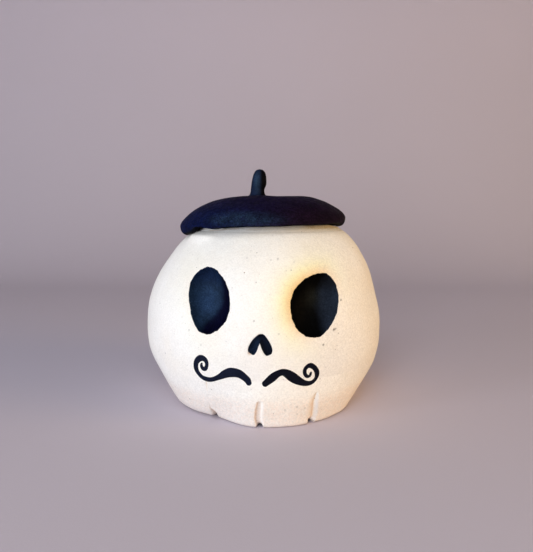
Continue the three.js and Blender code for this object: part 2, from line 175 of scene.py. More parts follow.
# Each socket also gives the strength of the painted yellow and tan shade beside its rim, and where its coat
# gets painted shade on one side and a painted highlight
SOCKETS = (
    {
        "name": "left_socket_coat", "node": "left_socket_slip", "turn": -25.2, "rise_share": 0.4,
        "tilt": -18.0, "half_width": 8.2, "half_height": 12.4,
        "outline_shares": (1.03, 0.985, 0.935, 0.96, 0.998, 1.015, 0.985, 0.945,
                           0.967, 1.05, 1.125, 1.07, 1.02, 1.09, 1.125, 1.065),
        "dip_turn": 250.0, "dip": 0.15, "dip_reach": 2.2, "rim_shade": 0.12,
        "dark_side": 1, "dark_edge": (
            (-12.2, -2.8), (-9.7, -1.7), (-7.6, 0.4), (-5.4, 2.6), (-2.9, 4.4), (-0.4, 5.2), (3.2, 5.2),
            (6.8, 4.9), (10.4, 5.2),
        ),
        "dark_soft": (-1.8, 1.6), "painted_light_place": (-0.4, -1.3), "painted_light_spread": (2.8, 4.0), "painted_light": 1.0,
    },
    {
        "name": "right_socket_coat", "node": "right_socket_slip", "turn": 23.1, "rise_share": 0.36,
        "tilt": 30.0, "half_width": 8.9, "half_height": 12.0,
        "outline_shares": (1.07, 1.07, 1.035, 1.01, 1.02, 1.03, 1.085, 1.035,
                           0.985, 0.96, 0.957, 0.995, 1.02, 0.977, 0.955, 0.98),
        "dip_turn": 275.0, "dip": 1.0, "dip_reach": 3.4, "rim_shade": 1.0,
        "dark_side": -1, "dark_edge": (
            (-11.2, 3.0), (-7.6, 2.2), (-4.0, 1.4), (-0.45, 0.0), (3.1, 0.0), (6.7, 1.6), (10.3, 2.6),
        ),
        "dark_soft": (-2.4, 2.4), "painted_light_place": (-1.6, 2.1), "painted_light_spread": (2.4, 3.4), "painted_light": 0.85,
    },
)

# The nose: pairs of outer and inner edge points, from the left leg's foot over the top to the right one's
FACE_SHIFT = -2.2
NOSE_SHIFT = 1.05
NOSE_FOOT = 27.8
NOSE_RISE = 7.65
NOSE_SPAN = 4.2
NOSE_DEPTH = 1.5
NOSE_WALL = 1.25
NOSE_SPREAD = 0.11
NOSE_MARGIN = 2.0
NOSE_LIFT = 4.0
NOSE_MIDDLE = (FACE_SHIFT + NOSE_SHIFT, NOSE_FOOT + NOSE_LIFT)
NOSE_INSETS = {"clay": 0.02, "coat": 0.1}
NOSE_COAT_UNDER = 0.06
# The nose's chip: bare clay whose tan tint is painted shade in its recess
CHIP_PLACE = (-4.6, 28.75)
CHIP_RADIUS = 0.85
CHIP_DEPTH = 0.4
CHIP_SHADE = 2.0
CHIP_EDGE_SHARES = (0.55, 1.15)
NOSE_SHARES = (
    ((-0.795, 0.115), (-0.645, 0.05)), ((-0.945, 0.19), (-0.495, 0.065)), ((-0.975, 0.285), (-0.36, 0.165)),
    ((-0.935, 0.39), (-0.265, 0.27)), ((-0.805, 0.55), (-0.175, 0.415)), ((-0.605, 0.73), (-0.1, 0.525)),
    ((-0.325, 0.895), (-0.05, 0.585)), ((0.01, 1.01), (-0.01, 0.615)), ((0.31, 0.98), (0.02, 0.585)),
    ((0.525, 0.855), (0.075, 0.505)), ((0.725, 0.685), (0.14, 0.395)), ((0.89, 0.505), (0.225, 0.275)),
    ((0.985, 0.355), (0.34, 0.155)), ((1.01, 0.225), (0.465, 0.06)), ((0.96, 0.11), (0.585, 0.01)),
    ((0.865, 0.06), (0.71, 0.02)),
)

# The moustache: points along each half as shares of its reach, rise and greatest width
MOUSTACHE_GAP = 5.8
PAINT_LIFT = 0.12
PAINT_SINK = 0.08
PAINT_SPREAD = 0.13
PAINT_UNEVEN_SHARE = 0.035
PAINT_DOME_POWER = 6
PAINT_THIN_HALF = 0.5
PAINT_THIN_SHARE = 0.5
PAINT_CAP_SHARE = 0.9
PAINT_CAP_PLACES = 7
PAINT_TIP_PLACES = 0.3
MOUSTACHES = (
    {
        "name": "left_moustache_paint", "node": "left_moustache_slip", "side": -1, "base_share": 0.55,
        "reach": 19.6, "rise": 8.3, "width": 3.5,
        "stroke_shares": (
            (0, 0.015, 0.5), (0.03, 0.155, 0.65), (0.09, 0.29, 0.74), (0.17, 0.42, 0.9),
            (0.255, 0.47, 0.96), (0.345, 0.46, 1), (0.435, 0.375, 0.82), (0.515, 0.255, 0.59),
            (0.605, 0.135, 0.48), (0.7, 0.04, 0.48), (0.79, 0.025, 0.5), (0.885, 0.1, 0.43),
            (0.955, 0.27, 0.41), (0.99, 0.44, 0.45), (0.995, 0.63, 0.48), (0.98, 0.785, 0.51),
            (0.935, 0.925, 0.59), (0.875, 0.995, 0.61), (0.81, 0.935, 0.47), (0.78, 0.785, 0.32),
            (0.785, 0.635, 0.3), (0.81, 0.52, 0.36), (0.845, 0.5, 0.38), (0.875, 0.57, 0.31),
            (0.885, 0.665, 0.23), (0.875, 0.745, 0.12),
        ),
    },
    {
        "name": "right_moustache_paint", "node": "right_moustache_slip", "side": 1, "base_share": 0.555,
        "reach": 18.8, "rise": 6.15, "width": 3.2,
        "stroke_shares": (
            (-0.005, -0.03, 0.67), (0.055, 0.125, 0.78), (0.125, 0.31, 0.83), (0.19, 0.485, 0.8),
            (0.265, 0.62, 0.75), (0.345, 0.66, 0.76), (0.425, 0.545, 0.89), (0.505, 0.355, 0.99),
            (0.58, 0.18, 0.95), (0.66, 0.025, 0.81), (0.74, -0.095, 0.63), (0.82, -0.14, 0.5),
            (0.89, -0.115, 0.41), (0.945, -0.015, 0.36), (0.98, 0.125, 0.38), (0.995, 0.31, 0.45),
            (0.99, 0.52, 0.48), (0.96, 0.715, 0.49), (0.915, 0.865, 0.53), (0.86, 0.96, 0.57),
            (0.8, 0.91, 0.46), (0.76, 0.765, 0.41), (0.75, 0.58, 0.38), (0.77, 0.395, 0.35),
            (0.805, 0.29, 0.33), (0.85, 0.315, 0.26), (0.87, 0.45, 0.22), (0.875, 0.525, 0.13),
        ),
    },
)

# The gaps between the teeth, from the top down: height, turn, half width, depth, left and right wall's share
TOOTH_GAPS = (
    ((16.6, -25.4, 0.45, 0.0, 1.0, 1.0), (16.1, -25.4, 0.5, 0.5, 1.0, 1.0),
     (13.6, -25.8, 0.45, 0.32, 1.0, 1.0), (12.4, -26.0, 0.4, 0.04, 1.0, 1.0),
     (7.4, -26.4, 0.5, 0.04, 1.0, 1.0), (6.2, -26.6, 0.5, 0.22, 1.0, 1.0), (4.8, -26.8, 0.9, 0.38, 1.0, 1.0),
     (3.9, -26.2, 1.2, 1.0, 1.0, 0.8), (3.0, -25.8, 1.25, 2.5, 0.9, 0.6), (1.5, -26.2, 1.5, 3.2, 0.9, 0.6),
     (0.0, -27.6, 1.8, 3.6, 0.9, 0.6)),
    ((10.9, -1.75, 0.9, 0.0, 0.8, 0.8), (10.4, -1.7, 1.1, 0.6, 0.5, 0.7), (8.4, -1.6, 1.5, 0.75, 0.5, 0.75),
     (6.1, -1.7, 1.55, 0.8, 0.5, 0.75), (3.7, -1.8, 1.55, 0.9, 0.5, 0.75), (2.2, -1.75, 1.5, 1.2, 0.7, 0.6),
     (1.3, -1.75, 1.3, 2.3, 0.8, 0.6), (0.0, -1.75, 1.55, 4.0, 0.9, 0.6)),
    ((12.9, 23.4, 0.6, 0.0, 1.2, 0.8), (12.3, 23.0, 1.0, 0.5, 1.25, 0.7), (10.6, 22.2, 1.9, 0.85, 1.3, 0.66),
     (8.5, 21.7, 2.3, 1.0, 1.3, 0.68), (6.1, 21.9, 2.4, 1.0, 1.3, 0.68), (3.7, 22.5, 2.4, 1.05, 1.3, 0.68),
     (2.4, 22.6, 2.1, 1.25, 1.0, 0.8), (1.4, 22.4, 1.5, 2.3, 0.8, 0.9), (0.0, 22.8, 1.7, 4.0, 0.8, 0.9)),
)
GAP_WANDER = 0.12
GAP_SILL_SHARE = 0.05
GAP_SOFTNESS = 0.12
GENTLE_SHARES = (0.95, 1.2)
GENTLE_POWER = 1.4

# Painted shade and highlight in the gaps: a warm shade line and floor, a pale highlight line and dark shadow
# at the foot; where a wall is gentle, the warm line's second shares are added to its first
TINTED_DEPTH = 0.5
WARM_LINE = 1.5
WARM_FLOOR = 0.6
WARM_LINE_SHARES = ((0.55, 0.35), (0.26, 0.14))
HIGHLIGHT_LINE_SHARES = (0.55, 0.3)
GAP_SHADOW_DEPTHS = (1.8, 2.6)

# The coil's outer edge, higher at the front right, by turn, and the painted shade lines of the creases and
# the tan band beneath the lid
COIL_RIDGE = (
    (-180, 0), (-60, 0), (-52, 0.4), (-45, 0.5), (-38, 0.15), (-28, 0.42), (-18, 0.72), (0, 0.9), (10, 0.96),
    (20, 1.2), (30, 1.22), (45, 1.1), (60, 1.14), (70, 0.6), (82, 0.1), (95, 0), (180, 0),
)
COIL_SLOPE = CROWN_REACH * TOP_RADIUS / BODY_RADIUS ** 2 / math.sqrt(1 - (TOP_RADIUS / BODY_RADIUS) ** 2)
COIL_BASE = 30.45
COIL_FLAT = TOP_HEIGHT + RIM_HEIGHT - 0.02
COIL_UNDER = TOP_HEIGHT - 0.1
COIL_UNEVEN = 0.05
COIL_UNEVEN_START = 0.2
COIL_SLOPE_SHARES = np.linspace(-0.08, 0.93, 18)
COIL_LIP = ((0.08, 0.03), (0.3, 0.0))
COIL_LIP_BACK = ((0.55, 0.08), (0.8, 0.4), (1.05, 2.0))
COIL_BORE = ((26.1, 0.0), (25.75, 0.1), (25.55, 0.35), (25.5, 0.7))
COIL_UNDERSIDE = (25.5, 27.0, 29.0)
SEAM_TAN_TURNS = ((24.0, 36.0), (82.0, 74.0))
SEAM_TAN_HEIGHTS = (TOP_HEIGHT + 0.7, TOP_HEIGHT + 1.3)
CREASES = (
    {"from": (-50.0, 70.3), "to": (-23.0, 71.55), "share": 1.6},
    {"from": (-19.0, 71.0), "to": (9.0, 71.45), "share": 0.9},
)
CREASE_WIDTH = 0.12
CREASE_END_SHARE = 0.1

# The larger specks on the face: x, height, radius and strength
SPECKS = (
    (25.54, 35.68, 0.4, 1.0), (26.2, 35.9, 0.28, 0.8), (21.59, 30.6, 0.36, 0.9), (28.48, 45.84, 0.32, 0.7),
    (-3.21, 40.13, 0.32, 0.4), (5.25, 61.06, 0.34, 0.35), (5.46, 35.58, 0.34, 0.35),
    (26.04, 69.17, 0.36, 0.9), (30.09, 70.91, 0.4, 0.9), (-27.06, 35.23, 0.34, 0.4), (12.13, 8.3, 0.3, 0.45),
    (7.79, 7.48, 0.26, 0.35), (12.19, 5.43, 0.26, 0.3), (15.1, 7.47, 0.28, 0.4), (-22.41, 30.4, 0.3, 0.25),
    (2.78, 60.7, 0.3, 0.25), (-5.92, 61.3, 0.3, 0.2), (11.13, 59.9, 0.3, 0.25), (-29.92, 39.54, 0.3, 0.2),
    (-11.75, 27.76, 0.3, 0.2),
)
SPECK_EDGE_SHARES = (1.3, 0.7)

# The beret: rows of radius and rise shares, then the height of its edge by turn
BERET_RADIUS = 35.1
BERET_SHIFT = -0.4
BERET_RISE = 12.8
BERET_ROLL = math.tan(math.radians(1.25))
BERET_FLARE = 0.016
BERET_LUMP = 0.11
BERET_JAG = 0.07
BERET_SHRINK_SHARE = 0.004
BERET_SHRINK_STRETCH = 0.7
BERET_LUMP_SHARES = (0.0, 0.3)
BERET_JAG_STRETCH = np.array([1.0, 1.0, 0.3])
BERET_LIP_START = 0.5
# Hang shares between which the hem gets its painted shade
BERET_HEM_SHARES = (0.6, 1.0)
BERET_TOP_SHARES = (
    (0.1, 1.0), (0.2, 0.999), (0.3, 0.992), (0.41, 0.972), (0.52, 0.928), (0.62, 0.855), (0.735, 0.73),
    (0.82, 0.605), (0.885, 0.475), (0.94, 0.34), (0.98, 0.22), (1.0, 0.11),
)
BERET_EDGE_SHARES = (
    (0.998, 0.07, 0.3), (0.988, 0.032, 0.6), (0.965, 0.01, 0.88), (0.935, 0.0, 1.0), (0.905, -0.002, 1.0),
    (0.88, 0.0, 0.9),
)
BERET_LIP_SHARES = (
    (-180, 0.93), (-80, 0.93), (-66, 0.915), (-52, 0.895), (-40, 0.88), (70, 0.88), (95, 0.92), (180, 0.93),
)
BERET_EDGE = (
    (-180, 0.3), (-150, -0.5), (-122, -2.1), (-100, -3.3), (-84, -3.6), (-74, -3.5), (-68, -3.1), (-60, -2.0),
    (-55, -0.95), (-50, 0.6), (-45, 0.8), (-40, -0.05), (-35, -0.45), (-30, 0.0), (-25, 0.5),
    (-20, 0.88), (-12, 0.94), (-3, 0.88), (2, 1.06), (8, 0.86), (14, 1.2), (20, 1.55), (30, 1.3), (38, 1.25),
    (43, 1.15), (48, 1.35), (60, 1.42), (66, 1.35), (72, 0.4), (80, -0.1), (92, -0.1), (120, 0.0), (150, 0.2),
    (180, 0.3),
)
BERET_EDGE_STEP = 5

# Dents in the beret's top: x, its spread, the spread in y and the height, then its rises to the right
BERET_DENTS = ((6.5, 6.5, 14.0, -0.6), (16.0, 5.0, 12.0, 0.1))
BERET_DENT_Y = -2.0
BERET_STEPS = ((17.0, 22.0, 0.28), (28.0, 33.0, 0.55))

# The beret's seat on the coil: radius, how far it follows the mouth's shift and the coil's ridge
SEAT_ROWS = ((30.3, 0.1, 1.1), (29.3, 0.35, 1.05), (28.0, 0.8, 1.0), (27.2, 1.0, 1.0), (26.4, 1.0, 1.0),
             (25.9, 1.0, 0.0), (24.8, 1.0, 0.0), (22.0, 1.0, 0.0))
HOLLOW_RADIUS = 20.4
HOLLOW_DEPTH = 6.3
HOLLOW_SHARES = ((1, 0), (0.985, 0.15), (0.93, 0.4), (0.85, 0.6), (0.75, 0.75), (0.6, 0.87), (0.45, 0.95),
                 (0.2, 0.99))

# The stem: rows of rise share, shift and half width
STEM_FOOT = 83.0
STEM_TOP = 95.6
STEM_FLATNESS = 0.96
STEM_UNEVEN_SHARE = 0.016
STEM_WAVE_STRETCH = 2.2
STEM_ROWS = (
    (0.0, -2.65, 4.6), (0.09, -2.65, 4.3), (0.125, -2.7, 3.7), (0.17, -2.72, 3.22), (0.25, -2.72, 2.92),
    (0.33, -2.65, 2.92), (0.41, -2.38, 3.08), (0.5, -2.12, 3.2), (0.6, -1.98, 3.14), (0.7, -1.85, 2.97),
    (0.8, -1.77, 2.71), (0.88, -1.72, 2.32), (0.94, -1.7, 1.8), (0.98, -1.68, 1.15),
)
# Where the stem gets its painted highlight and its painted shade
STEM_HIGHLIGHT = {"place": (-3.0, 90.5), "spread": (1.25, 3.6)}
STEM_SHADE_SIDE = (-1.75, -0.75)


def smooth_least(a, b, width):
    share = np.clip(0.5 + 0.5 * (b - a) / width, 0, 1)
    return b * (1 - share) + a * share - width * share * (1 - share)


def smooth_most(a, b, width):
    return -smooth_least(-a, -b, width)


def smooth_step(low, high, value):
    share = np.clip((value - low) / (high - low), 0, 1)
    return share * share * (3 - 2 * share)


def hill(*offsets, power=2):
    """A rounded hill of height 1, by how many spreads away a place is along each axis"""
    return np.exp(-sum(np.abs(offset) ** power for offset in offsets))


def between(a, b, c, d, share):
    """The Catmull-Rom value between b and c"""
    return 0.5 * (2 * b + (c - a) * share + (2 * a - 5 * b + 4 * c - d) * share ** 2
                  + (3 * b - a - 3 * c + d) * share ** 3)


def spline(points, count):
    """A number of places evenly along a smooth line through points"""
    points = np.asarray(points, float)
    places = np.linspace(0, len(points) - 1, count)
    start = np.minimum(places.astype(int), len(points) - 2)
    padded = np.concatenate([2 * points[:1] - points[1:2], points, 2 * points[-1:] - points[-2:-1]])
    return between(*(padded[start + step] for step in range(4)), (places - start)[:, None])


def periodic(values, share):
    """Smooth values round a closed list, at shares of one turn"""
    values = np.asarray(values, float)
    place = (np.asarray(share) % 1) * len(values)
    start = place.astype(int)
    corners = (values[(start + step) % len(values)] for step in (-1, 0, 1, 2))
    return between(*corners, place - start)


class Waves:
    """Smooth seeded unevenness in space, about -2 to 2"""

    def __init__(self, seed, count, short, long):
        random = np.random.default_rng(seed)
        ways = random.normal(size=(count, 3))
        ways /= np.linalg.norm(ways, axis=1)[:, None]
        self.ways = ways * (TURN / random.uniform(short, long, count))[:, None]
        self.starts = random.uniform(0, TURN, count)
        self.scale = math.sqrt(2 / count)

    def at(self, points):
        return self.scale * sum(np.sin(points @ way + start) for way, start in zip(self.ways, self.starts))

    def held(self, points):
        return np.clip(self.at(points), -WAVE_LIMIT, WAVE_LIMIT)


body_waves = Waves(SEED, 14, 14, 48)
edge_waves = Waves(SEED + 1, 12, 3, 9)
lid_waves = Waves(SEED + 2, 14, 9, 34)
inner_waves = Waves(SEED + 3, 12, 10, 40)


# The skull's form

def wrapped(degrees):
    return (degrees + 180) % 360 - 180


def by_turn(table, turn):
    """A table's values at turns in radians"""
    return np.interp(wrapped(np.degrees(turn)), *np.array(table, float).T)


def around(radius, turn, height, shift=0.0):
    """Points about an upright axis that is shifted to the right; turn is in radians from the front"""
    return np.stack(np.broadcast_arrays(radius * np.sin(turn) + shift, -radius * np.cos(turn), height), -1)


def inward_at(turn):
    return np.stack([-np.sin(turn), np.cos(turn), 0 * turn], -1)


def ball_reach(height):
    return np.where(height > WIDEST_HEIGHT, CROWN_REACH, BASE_REACH)


def ball_radius(height):
    return BODY_RADIUS * np.sqrt(np.maximum(0, 1 - ((height - WIDEST_HEIGHT) / ball_reach(height)) ** 2))


def ball_normal(points):
    x, y, height = np.moveaxis(points, -1, 0)
    normal = np.stack([(x - lean_at(height)) / BODY_RADIUS ** 2, y / BODY_RADIUS ** 2,
                       (height - WIDEST_HEIGHT) / ball_reach(height) ** 2], -1)
    return normal / np.linalg.norm(normal, axis=-1)[..., None]


def lean_at(height):
    share = np.clip((height - LEAN_HEIGHT) / (TOP_HEIGHT - LEAN_HEIGHT), 0, 1)
    return MOUTH_SHIFT * share ** LEAN_POWER


def pared(radius, turn, height):
    """A radius cut back by the flat of each cheek"""
    for cheek in CHEEKS:
        facing = np.cos(turn - math.radians(cheek["turn"]))
        rise = (height - cheek["height"]) * math.tan(math.radians(cheek["tilt"]))
        cut = (ball_radius(cheek["height"]) + rise + cheek["out"]) / np.maximum(facing, LEAST_FACING)
        soft = cheek["soft"] + CHEEK_SOFTENING * (1 - facing)
        radius = np.where(facing > CHEEK_FACING, smooth_least(radius, cut, soft), radius)
    return radius


def form_radius(turn, height):
    """The skull's outer radius without its unevenness and carving"""
    turn, height = np.broadcast_arrays(np.asarray(turn, float), np.asarray(height, float))
    radius = pared(ball_radius(height), turn, height)
    degrees = wrapped(np.degrees(turn))
    foot_share = 1 - np.clip(height / FOOT_ROUNDING, 0, 1)
    radius = radius - FOOT_ROUNDING * (1 - np.sqrt(1 - foot_share ** 2))
    corner = hill((degrees - CORNER_TURN) / CORNER_SPREAD, power=4)
    radius = radius - CORNER_REACH * corner * np.clip(1 - height / CORNER_HEIGHT, 0, 1) ** 2
    spread = np.where(degrees < CHIN_TURN, CHIN_SPREAD_LEFT, CHIN_SPREAD_RIGHT)
    chin = hill((degrees - CHIN_TURN) / spread, power=CHIN_POWER)
    for mark_turn, turn_spread, mark_height, height_spread, reach in HAND_MARKS:
        aside = wrapped(degrees - mark_turn) / turn_spread
        radius = radius + reach * hill(aside ** 2, (height - mark_height) / height_spread)
    return radius + CHIN_REACH * chin * np.clip(1 - height / CHIN_HEIGHT, 0, 1)


def place_at(turn, height, radius):
    return around(radius, turn, height, lean_at(height))


def skin_radius(turn, height):
    """The outer radius with its hand-made unevenness, always a little inside the plain form"""
    radius = form_radius(turn, height)
    fade = 1 - smooth_step(*(TOP_HEIGHT - drop for drop in UNEVEN_DROPS), height)
    return radius + UNEVEN_REACH * fade * (body_waves.held(place_at(turn, height, radius)) - WAVE_LIMIT)


def skin_point(x, height):
    """The skin's point seen at x and height from the front, and the turn it lies at"""
    from_axis = x - lean_at(height)
    turn = np.zeros(np.broadcast(x, height).shape)
    for _ in range(SOLVE_ROUNDS):
        turn = np.arcsin(np.clip(from_axis / skin_radius(turn, height), -1, 1))
    return place_at(turn, height, skin_radius(turn, height)), turn


def crown_radius(turn, radius):
    """A radius on the top, uneven as the skin's last ring is, but less so towards the mouth"""
    start = float(ball_radius(SKIN_TOP))
    fade = (radius - MOUTH_RADIUS) / (start - MOUTH_RADIUS)
    return radius + (skin_radius(turn, SKIN_TOP) - start) * fade ** 2


def seam_tan_band(turn, height):
    """A speckled tan band beneath the lid's right half"""
    degrees = wrapped(np.degrees(turn))
    along = math.prod(smooth_step(*turns, degrees) for turns in SEAM_TAN_TURNS)
    return along * smooth_step(*SEAM_TAN_HEIGHTS, height)


def bowl(share):
    """A socket's depth, by the share of the way out to its edge"""
    return SOCKET_DEPTH * (1 - np.clip(share, 0, 1) ** BOWL_POWER) ** BOWL_ROUNDING


def sag(across, up):
    """How far a place on the ball lies out from a plane that touches it, so it is below zero"""
    return -(across ** 2 + up ** 2) / (2 * BODY_RADIUS)


class Socket:
    """A socket's own axes and how deep it is at any place in them"""

    def __init__(self, values):
        self.values = values
        turn = math.radians(values["turn"])
        height = WIDEST_HEIGHT + values["rise_share"] * FACE_HEIGHT
        self.centre = place_at(turn, height, form_radius(turn, height))
        self.normal = ball_normal(self.centre)
        self.across = np.array([math.cos(turn), math.sin(turn), 0.0])
        self.up = np.cross(self.normal, self.across)
        self.tilt = math.radians(values["tilt"])

    def local(self, points):
        offset = points - self.centre
        return offset @ self.across, offset @ self.up, offset @ self.normal

    def outline(self, turn):
        """The outline's share of its ellipse by the turn from the socket's top, slightly ragged"""
        ragged = sum(size * np.sin(count * turn + start) for count, start, size in RIM_WAVES)
        return periodic(self.values["outline_shares"], turn / TURN) + ragged

    def shares(self, across, up):
        """How far out a place is, with the outline at 1, and its turn from the socket's top"""
        narrow = (across * math.cos(self.tilt) - up * math.sin(self.tilt)) / self.values["half_width"]
        long = (across * math.sin(self.tilt) + up * math.cos(self.tilt)) / self.values["half_height"]
        turn = np.arctan2(narrow, long)
        return np.hypot(narrow, long) / self.outline(turn), turn

    def place(self, out, turn):
        """The across and up of a place given by its share out and its turn"""
        reach = out * self.outline(turn)
        narrow = reach * np.sin(turn) * self.values["half_width"]
        long = reach * np.cos(turn) * self.values["half_height"]
        return (narrow * math.cos(self.tilt) + long * math.sin(self.tilt),
                long * math.cos(self.tilt) - narrow * math.sin(self.tilt))

    def beyond(self, out, turn):
        """How far outside the rim a place is, and how much it lies on the rubbed side"""
        side = 0.5 + 0.5 * np.cos(turn - math.radians(self.values["dip_turn"]))
        return np.maximum(out - 1, 0) * self.values["half_width"], side

    def depth(self, out, turn):
        """The bowl's depth below the skin, with a softened rim outside it"""
        share = out / BOWL_EDGE_SHARE
        slope = bowl(share) - np.maximum(share - 1, 0) * BOWL_BEYOND
        away, side = self.beyond(out, turn)
        dip = RIM_DIP * hill(away / RIM_DIP_REACH)
        dip = dip + self.values["dip"] * side ** DIP_FOCUS * hill(away / self.values["dip_reach"])
        return smooth_most(slope, 0 * slope, BOWL_SOFTNESS) + dip * smooth_step(*DIP_SHARES, out)

    def rim_shade(self, out, turn):
        """How much painted yellow and tan shade the body gets beside the rim"""
        away, side = self.beyond(out, turn)
        side = self.values["rim_shade"] * side
        return {"rim_shade": side * hill(away / RIM_SHADE_REACH, power=RIM_SHADE_POWER),
                "tan": side * hill(away / TAN_REACH)}

    def coat_shades(self, points):
        """Where the coat gets its painted highlight, its painted shade and its colour towards the top, laid
        out as the face shows them from the front
        """
        nearer = 1 - (points[..., 1] - self.centre[1]) / FRONT_DISTANCE
        across = points[..., 0] * nearer - self.centre[0]
        up = (points[..., 2] - FRONT_HEIGHT) * nearer - (self.centre[2] - FRONT_HEIGHT)
        past = self.values["dark_side"] * (across - np.interp(up, *np.array(self.values["dark_edge"]).T))
        (middle_across, middle_up), spread = self.values["painted_light_place"], self.values["painted_light_spread"]
        painted_light = hill((across - middle_across) / spread[0], (up - middle_up) / spread[1])
        return {"painted_light": self.values["painted_light"] * painted_light, "dark": smooth_step(*self.values["dark_soft"], past),
                "high": smooth_step(*COAT_HIGH, up)}

    def on_skin(self, across, up):
        """Points of the uncarved skin straight behind places in the socket's plane"""
        out = sag(across, up)
        for _ in range(SOCKET_ROUNDS):
            points = self.centre + sum(part[..., None] * axis for part, axis in (
                (across, self.across), (up, self.up), (out, self.normal)))
            x, y, height = np.moveaxis(points, -1, 0)
            from_axis = x - lean_at(height)
            miss = np.hypot(from_axis, y) - skin_radius(np.arctan2(from_axis, -y), height)
            out = out - miss * np.hypot(self.normal[0], self.normal[1])
        return points

    def backed(self, points):
        """Points of the hollow, moved in where the bowl needs a wall behind it"""
        across, up, out = self.local(points)
        share, _ = self.shares(across / BACK_SPREAD, up / BACK_SPREAD)
        target = sag(across, up) - bowl(share) - WALL * BACK_WALL_SHARE
        moved = np.minimum(smooth_least(out, target, BACK_SOFTNESS) - out, 0)
        near = (np.hypot(across, up) < BACK_SPAN) & (out > BACK_DEPTH) & (share < 1)
        return points + np.where(near, moved, 0)[:, None] * self.normal


sockets = [Socket(values) for values in SOCKETS]


def nose_edges(steps):
    """The nose's outer and inner edges as x and height, evenly along its legs"""
    shares = spline(np.reshape(NOSE_SHARES, (-1, 4)), steps).reshape(steps, 2, 2)
    edges = np.array([NOSE_MIDDLE[0], NOSE_FOOT]) + shares * np.array([NOSE_SPAN, NOSE_RISE])
    way = edges[:, :1] - edges[:, 1:]
    way = way / np.linalg.norm(way, axis=-1)[..., None]
    return edges + np.concatenate([way, -way], 1) * NOSE_SPREAD


outer_edge, inner_edge = np.moveaxis(nose_edges(NOSE_LOOP_STEPS), 1, 0)
nose_loop = np.concatenate([outer_edge, inner_edge[::-1]])


def inside_nose(x, height):
    """Distance in from the nose's outline, in millimetres; below zero outside it"""
    place = np.stack([x, height], -1)
    least = np.full(x.shape, np.inf)
    crossings = np.zeros(x.shape, int)
    for start, end in zip(nose_loop, np.roll(nose_loop, -1, axis=0)):
        edge = end - start
        share = np.clip(((place - start) @ edge) / (edge @ edge), 0, 1)
        least = np.minimum(least, np.linalg.norm(place - start - share[..., None] * edge, axis=-1))
        if edge[1]:
            spans = (start[1] > height) != (end[1] > height)
            crossings += spans & (x < start[0] + (height - start[1]) * edge[0] / edge[1])
    return np.where(crossings % 2 == 1, least, -least)


def nose_wall(inside, inset):
    """The share of the nose's full depth, by the distance in from its outline"""
    return np.sin(math.pi / 2 * np.clip((inside - inset) / NOSE_WALL, 0, 1))


def tooth_gaps(turn, height):
    """How deep the gaps between the teeth are, the painted shade and highlight of their walls and the painted
    shadow at their foot
    """
    total, warm, pale, gap_shadow = np.zeros((4, *turn.shape))
    for rows in TOOTH_GAPS:
        heights, *columns = np.array(rows)[::-1].T
        middle, half, depth, left, right = (np.interp(height, heights, column) for column in columns)
        depth = np.where(height > heights[-1], 0, depth)
        aside = np.radians(wrapped(np.degrees(turn)) - middle) * form_radius(np.radians(middle), height)
        aside = aside + GAP_WANDER * edge_waves.at(np.stack([middle, 0 * height, height], -1))
        share = aside / half
        wall = np.clip(np.minimum((share + 1) / left, (1 - share) / right), 0, 1)
        gentle = smooth_step(*GENTLE_SHARES, left) * (share < left - 1)
        hollow = np.sin(wall * math.pi / 2) * (1 - gentle) + wall ** GENTLE_POWER * gentle
        hollow = smooth_most((1 + GAP_SILL_SHARE) * hollow - GAP_SILL_SHARE, 0 * wall, GAP_SOFTNESS)
        total = np.maximum(total, depth * hollow)

        # Painted shade on the left wall and floor, painted highlight on the right wall, painted shadow where
        # the gap is deepest
        strength = np.clip(depth / TINTED_DEPTH, 0, 1)
        line_place, line_width = (plain + extra * gentle for plain, extra in WARM_LINE_SHARES)
        line = WARM_LINE * hill((share + 1 - left * line_place) / line_width)
        warm = np.maximum(warm, strength * np.maximum(line, WARM_FLOOR * hollow))
        line_place, line_width = HIGHLIGHT_LINE_SHARES
        pale = np.maximum(pale, strength * hill((share - 1 + line_place * right) / line_width))
        gap_shadow = np.maximum(gap_shadow, smooth_step(*GAP_SHADOW_DEPTHS, depth * hollow))
    return total, {"groove": warm * (1 - pale), "gap_highlight": pale, "gap_shadow": gap_shadow}


# Meshes

def mesh_piece(name, points, faces, material):
    mesh = bpy.data.meshes.new(name)
    mesh.from_pydata((np.asarray(points) * MM).tolist(), [], faces)
    mesh.validate()
    mesh.polygons.foreach_set("use_smooth", [True] * len(mesh.polygons))
    mesh.materials.append(material)
    mesh.update()
    piece = bpy.data.objects.new(name, mesh)
    bpy.context.scene.collection.objects.link(piece)
    return piece


def shade_piece(piece, shades, skipped=0):
    """Named shares kept on a piece's points, for its material"""
    for name, values in shades.items():
        padded = np.zeros(len(piece.data.vertices), np.float32)
        padded[skipped:skipped + values.size] = values.ravel()
        piece.data.attributes.new(name, "FLOAT", "POINT").data.foreach_set("value", padded)


def grid_faces(rows, columns, round_rows=False, round_columns=False):
    """The faces of a grid of points, which may close on itself either way"""
    index = np.arange(rows * columns).reshape(rows, columns)
    if round_rows:
        index = np.concatenate([index, index[:1]])
    if round_columns:
        index = np.concatenate([index, index[:, :1]], 1)
    return np.stack([index[:-1, :-1], index[:-1, 1:], index[1:, 1:], index[1:, :-1]], -1).reshape(-1, 4)


def closed_piece(name, points, faces, material):
    """A piece whose faces are turned over if they enclose their volume inside out"""
    triangles = [(face[0], *pair) for face in faces for pair in zip(face[1:], face[2:])]
    a, b, c = (points[corner] for corner in np.array(triangles).T)
    if np.sum(a * np.cross(b, c)) < 0:
        faces = [face[::-1] for face in faces]
    return mesh_piece(name, points, faces, material)


